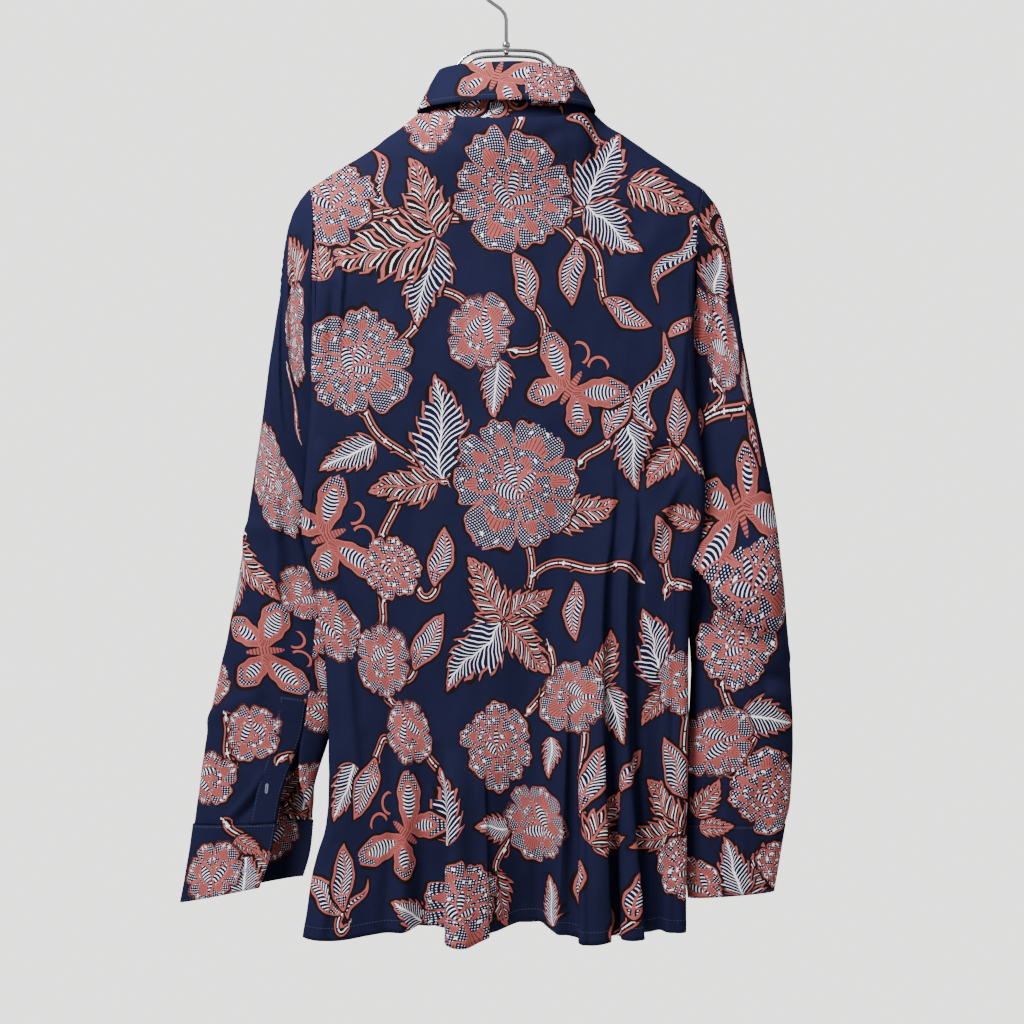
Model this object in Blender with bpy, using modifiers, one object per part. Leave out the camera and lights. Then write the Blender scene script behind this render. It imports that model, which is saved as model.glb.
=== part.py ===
"""A long-sleeved shirt hanging from a wire hanger, its back towards -Y.

Sizes are in millimetres and become metres where a mesh is made. The origin is the inside top of the
hook, where a rail or peg carries it, and all the rest hangs below. +X is the wearer's right.
"""

import math
from collections import namedtuple

import bmesh
import bpy
from mathutils import Vector

MM = 0.001

# Cloth
WALL = 1.2
SEAM_GAP = 1.4
ARMHOLE_GAP = 2.0
LIFT = WALL + 0.4
PLACKET_LIFT = LIFT + 0.4
SLEEVE_CLEAR = 4.2
HALF_GIRTH = 245.0
BACK_DEPTH = 27.0
FRONT_DEPTH = 26.0
ROLL = 7.0
SHOULDER_FALL = 110.0
NECK_EASE = 85.0
EDGE_EASE = 25.0
FRONT_LAP_EASE = 30.0
HEM_Z = -857.0
HEM_DROP_PER_FOLD = 0.33
PANEL_ROWS = 15
SLEEVE_COLUMNS = 24
BACK, FRONT = -1, 1

# Armhole, from the shoulder tip to the underarm
TIP_X = 172.0
TIP_Z = -207.0
UNDERARM_Z = -430.0
ARMHOLE_HOLLOW = 2.2

# Neck seam: half width, depth behind and before the hanger, heights
NECK_HALF = 77.0
OVERLAP = 15.0

# Buttons
BUTTON_RADIUS = 5.6
SMALL_BUTTON_RADIUS = 4.6
BUTTON_THICK = 2.4
BUTTON_GAP = 1.0
FRONT_BUTTONS = 6
FIRST_BUTTON_Z = -262.0
BUTTON_STEP = 94.0

# Hanger
HOOK_WIRE = 1.7
HOOK_RADIUS = 24.0
HOOK_STEM_TOP = -53.0
ARCH_WIRE = 1.75
BAR_WIRE = 1.5
ARCH_TOP = -84.4
BAR_BELOW = 5.3
BAR_SPREAD = 1.6
ARCH_UNDER_CLOTH = 5.2
ARCH_STEPS = 60
Rise = namedtuple("Rise", "x z")
ARCH_RISE = [
    Rise(0, ARCH_TOP),
    Rise(26, -85.8),
    Rise(38, -91.5),
    Rise(47, -104.0),
    Rise(55, -120.0),
    Rise(65, -134.5),
    Rise(77, -145.2),
]
FERRULE_TOP = -77.4
FERRULE_RADIUS = 3.5

Shoulder = namedtuple("Shoulder", "x z")
SHOULDERS = [
    Shoulder(77, -140),
    Shoulder(95, -155),
    Shoulder(133, -181),
    Shoulder(TIP_X, TIP_Z),
]

# The body's outline: how far the cloth hangs out to each side of the middle, and how much of each
# half panel, measured from the middle, lies before the side turns back on itself.
Level = namedtuple("Level", "z left right left_turn right_turn")
LEVELS = [
    Level(-207, 172, 172, 171, 171),
    Level(-300, 169, 165, 171, 171),
    Level(-390, 170, 165, 171, 171),
    Level(-430, 173, 169, 171, 171),
    Level(-475, 177, 173, 174, 174),
    Level(-510, 179, 171, 177, 178),
    Level(-550, 171, 163, 181, 184),
    Level(-615, 158, 159, 187, 190),
    Level(-700, 155, 158, 193, 196),
    Level(-760, 156, 157, 199, 198),
    Level(-805, 168, 157, 205, 200),
    Level(-875, 179, 157, 212, 203),
]

# Hanging folds: where each starts and where it meets the hem, how far it stands out of the panel
# there (in if negative), and half its width.
Fold = namedtuple("Fold", "x_top z_top x_hem out half_width")
BACK_FOLDS = [
    Fold(-150, -740, -152, 13, 52),
    Fold(-72, -600, -72, -16, 20),
    Fold(-45, -640, -38, 26, 27),
    Fold(14, -600, 18, -21, 36),
    Fold(86, -470, 72, 20, 27),
    Fold(110, -470, 106, 11, 19),
    Fold(150, -330, 142, -13, 24),
]
FRONT_FOLDS = [
    Fold(-140, -640, -138, 12, 26),
    Fold(-104, -560, -106, -13, 22),
    Fold(-62, -480, -70, 21, 28),
    Fold(-26, -620, -30, -9, 20),
    Fold(48, -560, 44, -14, 26),
    Fold(88, -420, 84, 22, 28),
    Fold(128, -540, 126, -12, 22),
]

# The neck seam and the lines of the collar, each a ring round the neck.
Ring = namedtuple("Ring", "half_width back front z_back z_side z_front")
NECK = Ring(NECK_HALF, 40, 44, -145, -140, -208)
STAND_RINGS = [
    Ring(75.8, 39.0, 43.0, -143.4, -138.4, -205.8),
    Ring(68.5, 34.5, 40.8, -128.0, -126.5, -194.0),
    Ring(58.5, 29.5, 38.0, -107.5, -111.0, -181.0),
]
FALL_RINGS = [
    Ring(58.0, 29.2, 37.8, -106.4, -109.9, -179.9),
    Ring(56.2, 28.0, 37.0, -97.5, -102.0, -174.5),
    Ring(58.2, 29.8, 39.0, -94.6, -99.0, -171.5),
    Ring(60.8, 32.2, 41.4, -97.2, -101.6, -174.3),
    Ring(69.0, 38.8, 46.5, -112.0, -116.0, -193.0),
    Ring(79.0, 46.0, 50.5, -130.0, -134.5, -214.0),
]
STAND_END = 12.0
FALL_END = 5.0
COLLAR_POINT_OUT = 34.0
COLLAR_POINT_DROP = 16.0

# Sleeves: the outer and inner edge of the hanging tube at each section, half its depth there, how
# much of that depth is lost towards the inner edge, how far it hangs forward of the hanger, and how
# long the section keeps out before it curves in: 1 is a straight line, 3 follows the armhole.
Section = namedtuple("Section", "outer_x outer_z inner_x inner_z half_depth tail forward hollow")
LEFT_SLEEVE = [
    Section(182, -217, 120, -433, 19, 0.35, 0, 3.0),
    Section(189, -231, 124, -439, 18, 0.38, 0, 2.9),
    Section(193, -252, 127, -448, 18, 0.40, 0, 2.7),
    Section(198, -290, 129, -464, 18, 0.40, 0, 2.5),
    Section(205, -340, 131, -482, 21, 0.45, 0, 2.2),
    Section(213, -395, 132, -505, 24, 0.45, 1, 1.9),
    Section(222, -455, 134, -535, 25, 0.40, 1, 1.6),
    Section(231, -522, 139, -575, 25, 0.35, 1, 1.35),
    Section(244, -590, 146, -620, 24, 0.35, 1, 1.15),
    Section(256, -648, 151, -662, 22, 0.25, 2, 1.05),
    Section(265, -692, 158, -697, 20, 0.10, 3, 1.0),
    Section(271, -733, 169, -733, 18, 0.0, 3, 1.0),
    Section(275, -766, 171, -763, 17, 0.0, 2, 1.0),
]
RIGHT_SLEEVE = [
    Section(183, -219, 120, -433, 19, 0.35, 0, 3.0),
    Section(190, -233, 124, -439, 18, 0.38, 0, 2.9),
    Section(196, -256, 127, -448, 18, 0.40, 0, 2.7),
    Section(202, -296, 129, -464, 18, 0.40, 0, 2.5),
    Section(208, -343, 132, -482, 21, 0.45, 0, 2.2),
    Section(217, -395, 136, -505, 24, 0.45, 0, 1.9),
    Section(230, -452, 143, -530, 25, 0.40, 0, 1.6),
    Section(240, -515, 152, -562, 25, 0.30, 0, 1.35),
    Section(247, -580, 160, -602, 24, 0.15, 0, 1.15),
    Section(251, -640, 161.5, -652, 22, 0.05, 0, 1.05),
    Section(253, -695, 162, -698, 20, 0.0, 0, 1.0),
    Section(251, -742, 162, -738, 18, 0.0, 0, 1.0),
    Section(245, -767, 162, -766, 17, 0.0, 0, 1.0),
]
LEFT_CUFF = [
    Section(275.5, -767, 171, -764, 16.5, 0.0, 2, 1.0),
    Section(281, -800, 173, -791, 16, 0.0, 1, 1.0),
    Section(287, -834, 179, -812, 15, 0.0, 0, 1.0),
]
RIGHT_CUFF = [
    Section(245, -768, 162, -767, 17, 0.0, 0, 1.0),
    Section(241, -795, 163, -797, 16, 0.0, 0, 1.0),
    Section(236, -824, 164.5, -830, 15, 0.0, 0, 1.0),
]

# The slit in each sleeve: its distance across the tube from the outer edge, as a share, at its top
# and at the cuff, the side that it is on, and how far across its free inner edge has drawn back.
Slit = namedtuple("Slit", "side face top_row top_share cuff_share hem_share open_share strip")
LEFT_SLIT = Slit(-1, BACK, 9.7, 0.79, 0.71, 0.66, 1.0, 0.21)
RIGHT_SLIT = Slit(1, FRONT, 9.7, 0.32, 0.34, 0.36, 0.0, 0.24)
CUFF_OVERLAP = 0.16

Look = namedtuple("Look", "colour roughness metallic")
CLOTH = Look((0.035, 0.047, 0.15), 0.85, 0.0)
BUTTON = Look((0.05, 0.04, 0.07), 0.35, 0.0)
CHROME = Look((0.78, 0.79, 0.81), 0.18, 1.0)


def clamp(value, low=0.0, high=1.0):
    return max(low, min(high, value))


def ease(value):
    """Smooth step from 0 to 1."""
    value = clamp(value)
    return value * value * (3 - 2 * value)


def read(rows, key, column):
    """A column of a table at a key between its rows, on a smooth curve through them."""
    keys = [row[0] for row in rows]
    values = [getattr(row, column) for row in rows]
    sign = 1 if keys[-1] > keys[0] else -1
    if (key - keys[0]) * sign <= 0:
        return values[0]
    if (key - keys[-1]) * sign >= 0:
        return values[-1]
    at = max(i for i in range(len(keys) - 1) if (key - keys[i]) * sign >= 0)
    return between(keys, values, at, (key - keys[at]) / (keys[at + 1] - keys[at]))


def between(keys, values, at, part):
    """The smooth curve through a list of values, a part of the way past the value numbered at."""
    before = max(at - 1, 0)
    after = min(at + 2, len(keys) - 1)
    span = keys[at + 1] - keys[at]
    slope_a = (values[at + 1] - values[before]) / (keys[at + 1] - keys[before]) * span
    slope_b = (values[after] - values[at]) / (keys[after] - keys[at]) * span
    square, cube = part * part, part * part * part
    return (
        values[at] * (2 * cube - 3 * square + 1)
        + slope_a * (cube - 2 * square + part)
        + values[at + 1] * (3 * square - 2 * cube)
        + slope_b * (cube - square)
    )


# ---------------------------------------------------------------- the body


def shoulder_z(x):
    """Height of the shoulder seam this far from the middle."""
    return read(SHOULDERS, clamp(abs(x), NECK_HALF, TIP_X), "z")


def fullness(x, z):
    """0 at the shoulder line and 1 where the cloth hangs clear of it, round like an arc."""
    fallen = clamp((shoulder_z(x) - z) / SHOULDER_FALL)
    return math.sqrt(1 - (1 - fallen) ** 2)


def fold_out(face, x, z):
    """How far the hanging folds move a panel outwards. Hollows die out before the panel's turned side."""
    edge = read(LEVELS, z, "left" if x < 0 else "right")
    inside = ease((edge - ROLL - abs(x)) / EDGE_EASE)
    total = 0.0
    for fold in BACK_FOLDS if face == BACK else FRONT_FOLDS:
        down = clamp((fold.z_top - z) / (fold.z_top - HEM_Z), 0, 1.1)
        middle = fold.x_top + (fold.x_hem - fold.x_top) * down
        away = clamp(abs(x - middle) / fold.half_width)
        rise = fold.out * down**1.3 * 0.5 * (1 + math.cos(math.pi * away))
        total += rise if rise > 0 else rise * inside
    return total


def side_of(p, z):
    """The outline on this side: reach, roll radius, where the turn starts, and length turned in."""
    left = p < 0
    edge = read(LEVELS, z, "left" if left else "right")
    turn = read(LEVELS, z, "left_turn" if left else "right_turn")
    roll = ROLL * fullness(min(abs(p), TIP_X), z)
    return edge, roll, turn, HALF_GIRTH - math.pi * roll - turn


def groove(turned):
    """Half the gap between the turned-in front and back, from 1 at its mouth to 0 at the seam."""
    return math.sqrt(max(0.0, 1 - turned * turned))


def hang(face, p, z):
    """Where the thread p of a panel is at height z: flat, round the side, then in to the seam."""
    edge, roll, turn, tuck = side_of(p, z)
    depth = (BACK_DEPTH if face == BACK else FRONT_DEPTH) * fullness(min(abs(p), TIP_X), z)
    along = abs(p)
    weight = 1.0
    if along <= turn:
        x = along * (edge - roll) / turn
        out = depth
    elif along < turn + math.pi * roll:
        angle = (along - turn) / roll
        x = edge - roll + roll * math.sin(angle)
        out = depth - roll * (1 - math.cos(angle))
    else:
        turned = clamp((along - turn - math.pi * roll) / tuck)
        x = edge - roll - tuck * turned
        out = (depth - 2 * roll) * groove(turned)
        weight = groove(turned)
    x = math.copysign(x, p)
    return x, face * (out + weight * fold_out(face, x, z) + SEAM_GAP / 2)


def ring_point(ring, angle):
    """A point of a ring round the neck: angle 0 behind, a quarter turn at the wearer's right."""
    sine, cosine = math.sin(angle), math.cos(angle)
    depth = ring.back if cosine > 0 else ring.front
    end = ring.z_back if cosine > 0 else ring.z_front
    z = ring.z_side + (end - ring.z_side) * cosine**2
    return Vector((ring.half_width * sine, -depth * cosine, z))


def armhole_reach(drop):
    """How far out the armhole's edge is on the panel, as drop goes from 0 to 1 down it."""
    return TIP_X + (HALF_GIRTH - TIP_X) * drop**ARMHOLE_HOLLOW


def panel_top(face, p):
    """Height and depth of a panel's upper edge at thread p: neck, shoulder or armhole."""
    along = abs(p)
    if along < NECK_HALF:
        angle = math.asin(along / NECK_HALF)
        point = ring_point(NECK, angle if face == BACK else math.pi - angle)
        return point.z, point.y
    if along <= TIP_X:
        return shoulder_z(along), 0.0
    drop = ((along - TIP_X) / (HALF_GIRTH - TIP_X)) ** (1 / ARMHOLE_HOLLOW)
    return TIP_Z + (UNDERARM_Z - TIP_Z) * drop, None


def panel_point(face, p, down):
    """A point of the back or a front: thread p, and down from 0 at the top edge to 1 at the hem."""
    top, edge_y = panel_top(face, p)
    hem_x, _ = hang(face, p, HEM_Z)
    hem = HEM_Z - HEM_DROP_PER_FOLD * fold_out(face, hem_x, HEM_Z)
    z = top + (hem - top) * down
    x, y = hang(face, p, z)
    if abs(p) < NECK_HALF:
        _, hung_y = hang(face, p, top)
        y += (edge_y - hung_y) * (1 - ease((top - z) / NECK_EASE))
    return Vector((x, y, z))


def threads(start, end):
    """The threads that a panel's columns follow, closest where the cloth turns."""
    neck = [NECK_HALF * math.sin(math.radians(angle)) for angle in range(-90, 91, 15)]
    shoulder = [91, 107, 123, 139, 155, 168, TIP_X]
    turned = [178, 184, 190, 197, 206, 216, 227, 237, HALF_GIRTH - SEAM_GAP / 2]
    outer = shoulder + turned
    if OVERLAP in (end, -start):
        neck = sorted(neck + [-OVERLAP, OVERLAP])
    every = [-p for p in reversed(outer)] + neck + outer
    return [start] + [p for p in every if start + 3 < p < end - 3] + [end]


# ---------------------------------------------------------------- the sleeves


def armhole_point(side, face, drop):
    """The armhole seam, drop from 0 at the shoulder tip to 1 at the underarm."""
    z = TIP_Z + (UNDERARM_Z - TIP_Z) * drop
    x, y = hang(face, side * armhole_reach(drop), z)
    inside = (LIFT + 0.6) * ease((drop - 0.25) / 0.3)
    return Vector((x + side * ARMHOLE_GAP, face * max(abs(y) - inside, 0.0), z))


def room(side, face, x, z):
    """How deep a sleeve may be here, so that it stays inside the turned-in side of the body."""
    edge, roll, _, tuck = side_of(side, z)
    depth = BACK_DEPTH if face == BACK else FRONT_DEPTH
    mouth = (depth - 2 * ROLL) * fullness(TIP_X, z)
    reach = abs(x)
    if reach > edge:
        return mouth + roll + 0.8 * (reach - edge)
    if reach > edge - roll:
        return mouth + roll - math.sqrt(max(0.0, roll**2 - (reach - edge + roll) ** 2))
    return mouth * groove(clamp((edge - roll - reach) / tuck))


def tube_point(side, rows, row, turn, sink=0.0):
    """A point of a sleeve or cuff. turn goes once round: 0 outer edge, 0.25 back, 0.5 inner edge."""
    keys = list(range(len(rows)))
    at = int(clamp(math.floor(row), 0, len(rows) - 2))
    cut = {name: between(keys, [getattr(r, name) for r in rows], at, row - at) for name in Section._fields}
    share = (1 - math.cos(math.tau * turn)) / 2
    face = BACK if math.sin(math.tau * turn) >= 0 else FRONT
    x = side * (cut["outer_x"] + (cut["inner_x"] - cut["outer_x"]) * share ** cut["hollow"])
    z = cut["outer_z"] + (cut["inner_z"] - cut["outer_z"]) * share
    round_part = abs(math.sin(math.tau * turn)) ** 0.8
    depth = cut["half_depth"] * round_part * (1 - cut["tail"] * ease(share)) - sink
    most = room(side, face, x, z) - SLEEVE_CLEAR - face * cut["forward"]
    return Vector((x, cut["forward"] + face * min(depth, max(most, 0.0)), z))


def sleeve_point(side, rows, row, turn):
    """As tube_point, with row -1 the armhole seam and row 0 the first section past it."""
    if row >= 0:
        return tube_point(side, rows, row, turn)
    share = (1 - math.cos(math.tau * turn)) / 2
    face = BACK if math.sin(math.tau * turn) >= 0 else FRONT
    seam = armhole_point(side, face, share)
    return seam.lerp(tube_point(side, rows, 0, turn), row + 1)


def slit_turn(slit, share):
    """The turn round the tube of a point this share of the way across it, on the slit's side."""
    turn = math.acos(1 - 2 * clamp(share)) / math.tau
    return turn if slit.face == BACK else 1 - turn


def slit_share(slit, row, last):
    """How far across the tube the slit's upper edge lies."""
    down = clamp((row - slit.top_row) / (last - slit.top_row))
    return slit.top_share + (slit.cuff_share - slit.top_share) * down


# ---------------------------------------------------------------- making the pieces


def new_object(name, mesh, look, collection):
    material = bpy.data.materials.new(name)
    material.use_nodes = True
    shader = material.node_tree.nodes["Principled BSDF"]
    shader.inputs["Base Color"].default_value = (*look.colour, 1)
    shader.inputs["Roughness"].default_value = look.roughness
    shader.inputs["Metallic"].default_value = look.metallic
    obj = bpy.data.objects.new(name, mesh)
    obj.data.materials.append(material)
    collection.objects.link(obj)
    return obj


def sheet(name, columns, rows, point, collection, join=False):
    """A piece of cloth: a grid primitive whose corners are moved to point(column, row), then a wall."""
    bm = bmesh.new()
    bmesh.ops.create_grid(bm, x_segments=columns, y_segments=rows, size=0.5)
    for vert in bm.verts:
        column = round((vert.co.x + 0.5) * columns)
        row = round((vert.co.y + 0.5) * rows)
        vert.co = point(column, row) * MM
    if join:
        bmesh.ops.remove_doubles(bm, verts=bm.verts, dist=0.00001)
    mesh = bpy.data.meshes.new(name)
    bm.to_mesh(mesh)
    bm.free()
    obj = new_object(name, mesh, CLOTH, collection)
    wall = obj.modifiers.new("Wall", "SOLIDIFY")
    wall.thickness = WALL * MM
    wall.offset = 0
    return obj


def make_panel(name, face, start, end, collection, lap=0.0):
    """The back or a front, from thread start to thread end. lap lifts its edge over the other front."""
    lines = threads(start, end)
    steps = [(i / PANEL_ROWS) ** 1.5 for i in range(PANEL_ROWS + 1)]

    def point(column, row):
        over = lap * (1 - ease((lines[column] - OVERLAP) / FRONT_LAP_EASE))
        return panel_point(face, lines[column], steps[row]) + Vector((0, over, 0))

    sheet(name, len(lines) - 1, len(steps) - 1, point, collection)


def make_collar(collection):
    """The stand, buttoned in front with its right end over its left, and the fall over it."""

    around = [math.radians(angle) for angle in range(-180, 181, 15)]

    def stand(column, row):
        ring = STAND_RINGS[row]
        overlap = STAND_END / ring.half_width
        angle = ([around[0] - overlap] + around + [around[-1] + overlap])[column]
        over = ease((abs(angle) - math.radians(120)) / math.radians(50)) * 1.2
        return ring_point(ring, angle) + Vector((0, math.copysign(over, angle), 0))

    def fall(column, row):
        ring = FALL_RINGS[row]
        end = math.pi - FALL_END / ring.half_width
        if row > 2:
            end -= COLLAR_POINT_OUT / ring.half_width * (row - 2) / 3
        angle = around[column] / math.pi * end
        place = ring_point(ring, angle)
        near_point = ease((abs(angle) - 2.0) / 0.6) * max(0, row - 2) / 3
        return place + Vector((0, 0, -COLLAR_POINT_DROP * near_point))

    sheet("collar_stand", len(around) + 1, len(STAND_RINGS) - 1, stand, collection)
    sheet("collar_fall", len(around) - 1, len(FALL_RINGS) - 1, fall, collection)


def make_sleeve(name, rows, slit, collection):
    """A sleeve: a tube that is open at the armhole and the cuff, and slit at the cuff if worn open."""
    columns = SLEEVE_COLUMNS
    last = len(rows) - 1
    lines = [-1, -0.5] + list(range(len(rows)))

    def point(column, row):
        at = lines[row]
        share = slit_share(slit, max(at, slit.top_row), last)
        start = slit_turn(slit, share)
        opened = clamp((at - slit.top_row) / (last - slit.top_row))
        end = start - 1
        if slit.open_share:
            free = slit_turn(slit, share + (slit.open_share - share) * ease(opened))
            end = free - 1
        return sleeve_point(slit.side, rows, at, start + (end - start) * column / columns)

    sheet(name, columns, len(lines) - 1, point, collection, join=True)


def make_cuff(name, rows, slit, collection):
    """A cuff: open with its ends apart, or closed with one end under the other."""
    columns, lines = SLEEVE_COLUMNS, 3

    def point(column, row):
        at = row / lines * (len(rows) - 1)
        share = slit.cuff_share + (slit.hem_share - slit.cuff_share) * row / lines
        start = slit_turn(slit, share)
        part = column / columns
        if slit.open_share:
            turn = start + (slit_turn(slit, slit.open_share) - 1 - start) * part
            return tube_point(slit.side, rows, at, turn)
        under = 1 - ease((part - CUFF_OVERLAP) / 0.08)
        turn = start + CUFF_OVERLAP / 2 - (1 + CUFF_OVERLAP) * part
        return tube_point(slit.side, rows, at, turn, sink=2.0 * under)

    sheet(name, columns, lines, point, collection)


def make_placket(name, rows, slit, collection):
    """The strip sewn along a sleeve's slit, made from the sleeve's own points, moved out."""
    columns, lines = 3, 8
    last = len(rows) - 1
    top = slit.top_row - 0.8

    def point(column, row):
        at = top + (last - 0.02 - top) * row / lines
        share = slit_share(slit, at, last) - 0.01 - slit.strip * column / columns
        place = tube_point(slit.side, rows, at, slit_turn(slit, share))
        return place + Vector((0, slit.face * PLACKET_LIFT, 0))

    sheet(name, columns, lines, point, collection)


def turned(name, profile, axis_point, axis, look, collection, steps=16):
    """A turned solid: (radius, height) pairs from the outer top down, spun about its axis."""
    bm = bmesh.new()
    verts = [bm.verts.new((radius * MM, 0, height * MM)) for radius, height in profile]
    for first, second in zip(verts, verts[1:]):
        bm.edges.new((first, second))
    mesh = bpy.data.meshes.new(name)
    bm.to_mesh(mesh)
    bm.free()
    obj = new_object(name, mesh, look, collection)
    obj.location = axis_point * MM
    obj.rotation_mode = "QUATERNION"
    obj.rotation_quaternion = Vector((0, 0, 1)).rotation_difference(axis)
    screw = obj.modifiers.new("Turn", "SCREW")
    screw.steps = steps
    screw.render_steps = steps
    screw.use_merge_vertices = True
    screw.merge_threshold = 0.00001
    return obj


def make_button(name, face_point, outward, radius, collection):
    """A four-hole button's plain blank, its back just off the cloth."""
    half = BUTTON_THICK / 2
    rim = radius * 0.82
    profile = [(0, half * 0.6), (rim * 0.7, half * 0.6), (rim, half), (radius, half * 0.4)]
    profile += [(radius, -half * 0.4), (rim, -half), (0, -half)]
    middle = face_point + outward * (WALL / 2 + BUTTON_GAP + half)
    turned(name, profile, middle, outward, BUTTON, collection, steps=14)


def wire(name, points, radius, look, collection):
    """A bent wire with capped ends through points on a smooth line."""
    curve = bpy.data.curves.new(name, "CURVE")
    curve.dimensions = "3D"
    curve.bevel_depth = radius * MM
    curve.bevel_resolution = 2
    curve.use_fill_caps = True
    spline = curve.splines.new("POLY")
    spline.points.add(len(points) - 1)
    for slot, place in zip(spline.points, points):
        slot.co = (*(place * MM), 1)
    return new_object(name, curve, look, collection)


def make_buttons(collection):
    """Down the front, on the collar stand, on the cuffs and on the sleeve slits."""
    for index in range(FRONT_BUTTONS):
        z = FIRST_BUTTON_Z - index * BUTTON_STEP
        top, _ = panel_top(FRONT, 0)
        hem = HEM_Z - HEM_DROP_PER_FOLD * fold_out(FRONT, 0, HEM_Z)
        down = (top - z) / (top - hem)
        place = panel_point(FRONT, 0, down) + Vector((0, LIFT, 0))
        along = panel_point(FRONT, 0, down + 0.01) - panel_point(FRONT, 0, down - 0.01)
        outward = Vector((1, 0, 0)).cross(along).normalized()
        make_button(f"button_front_{index + 1}", place, outward, BUTTON_RADIUS, collection)
    stand = ring_point(STAND_RINGS[1], math.pi)
    tilt = Vector((0, 0.97, 0.2)).normalized()
    make_button("button_collar", stand + tilt * 1.6, tilt, BUTTON_RADIUS, collection)
    for side, rows, word in ((-1, LEFT_CUFF, "left"), (1, RIGHT_CUFF, "right")):
        turn = 0.66 if side < 0 else 1 - math.acos(1 - 2 * 0.45) / math.tau
        place = tube_point(side, rows, 1.0, turn)
        make_button(f"button_cuff_{word}", place, Vector((0, 1, 0)), BUTTON_RADIUS, collection)
    left = tube_point(-1, LEFT_SLEEVE, 11.2, 0.66)
    make_button("button_placket_left", left, Vector((0, 1, 0)), SMALL_BUTTON_RADIUS, collection)
    share = slit_share(RIGHT_SLIT, 11.2, 12) - RIGHT_SLIT.strip / 2
    right = tube_point(1, RIGHT_SLEEVE, 11.2, slit_turn(RIGHT_SLIT, share))
    right += Vector((0, PLACKET_LIFT + 0.4, 0))
    make_button("button_placket_right", right, Vector((0, 1, 0)), SMALL_BUTTON_RADIUS, collection)


# ---------------------------------------------------------------- the hanger


def arch_z(x):
    """Height of the hanger's upper wire: an arch at the neck, then just under the shoulder seams."""
    reach = abs(x)
    if reach >= NECK_HALF:
        return shoulder_z(reach) - ARCH_UNDER_CLOTH
    return read(ARCH_RISE, reach, "z")


def make_hanger(collection):
    """Hook, ferrule, arch with its turned ends, the bar under it and the rivet between them."""
    centre = Vector((0, 0, HOOK_WIRE - HOOK_RADIUS))
    arc = [math.radians(angle) for angle in range(100, -141, -12)]
    hook = [centre + HOOK_RADIUS * Vector((math.sin(a), 0, math.cos(a))) for a in arc]
    hook += [Vector((-4.5, 0, HOOK_STEM_TOP + 4.5)), Vector((-1.2, 0, HOOK_STEM_TOP))]
    hook += [Vector((0, 0, HOOK_STEM_TOP - 4.5)), Vector((0, 0, FERRULE_TOP + 0.3))]
    wire("hanger_hook", hook, HOOK_WIRE, CHROME, collection)

    ferrule_low = ARCH_TOP + ARCH_WIRE + 0.35
    profile = [(0, FERRULE_TOP), (2.6, FERRULE_TOP), (FERRULE_RADIUS, FERRULE_TOP - 0.9)]
    profile += [(FERRULE_RADIUS, ferrule_low + 0.5), (3.0, ferrule_low), (0, ferrule_low)]
    turned("hanger_ferrule", profile, Vector((0, 0, 0)), Vector((0, 0, 1)), CHROME, collection)

    end = TIP_X - 10
    across = [-end + 2 * end * i / ARCH_STEPS for i in range(ARCH_STEPS + 1)]
    arch = [Vector((x, 0, arch_z(x))) for x in across]
    tip = (BAR_BELOW + BAR_SPREAD) / 2
    for side in (-1, 1):
        middle = Vector((side * end, 0, arch_z(end) - tip))
        turn = [math.radians(angle) for angle in (60, 30, 0, -30, -60, -84)]
        bend = [middle + tip * Vector((side * math.cos(a), 0, math.sin(a))) for a in turn]
        arch = bend[::-1] + arch if side < 0 else arch + bend
    wire("hanger_arch", arch, ARCH_WIRE, CHROME, collection)

    inner = end - 5
    bar = []
    for x in across:
        if abs(x) < inner:
            slope = Vector((2, 0, arch_z(x + 1) - arch_z(x - 1))).normalized()
            drop = BAR_BELOW + BAR_SPREAD * ease(abs(x) / NECK_HALF)
            bar.append(Vector((x, 0, arch_z(x))) + drop * Vector((slope.z, 0, -slope.x)))
    wire("hanger_bar", bar, BAR_WIRE, CHROME, collection)

    rivet = [(0, 2.5), (1.5, 2.1), (2.4, 1.0), (2.4, 0), (0, 0)]
    face = Vector((0, -ARCH_WIRE - 0.4, ARCH_TOP - BAR_BELOW / 2))
    turned("hanger_rivet", rivet, face, Vector((0, -1, 0)), CHROME, collection, steps=12)


def main():
    for obj in list(bpy.data.objects):
        bpy.data.objects.remove(obj)
    collection = bpy.data.collections.new("batik_shirt")
    bpy.context.scene.collection.children.link(collection)
    seam = HALF_GIRTH - SEAM_GAP / 2
    make_panel("back", BACK, -seam, seam, collection)
    make_panel("front_left", FRONT, -seam, OVERLAP, collection)
    make_panel("front_right", FRONT, -OVERLAP, seam, collection, lap=LIFT)
    make_collar(collection)
    for word, sleeve, cuff, slit in (
        ("left", LEFT_SLEEVE, LEFT_CUFF, LEFT_SLIT),
        ("right", RIGHT_SLEEVE, RIGHT_CUFF, RIGHT_SLIT),
    ):
        make_sleeve(f"sleeve_{word}", sleeve, slit, collection)
        make_cuff(f"cuff_{word}", cuff, slit, collection)
        make_placket(f"placket_{word}", sleeve, slit, collection)
    make_buttons(collection)
    make_hanger(collection)


main()
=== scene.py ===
"""A long-sleeved batik shirt on a wire hanger, its back towards the viewer.

The cloth is made in millimetres on the same outline as its solids. Each piece is a grid of points
with its creases added, made a thin shell. Each face knows where it lies in the print, so that the
materials draw the flowers, leaves and stems at their own scale.
"""

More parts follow.
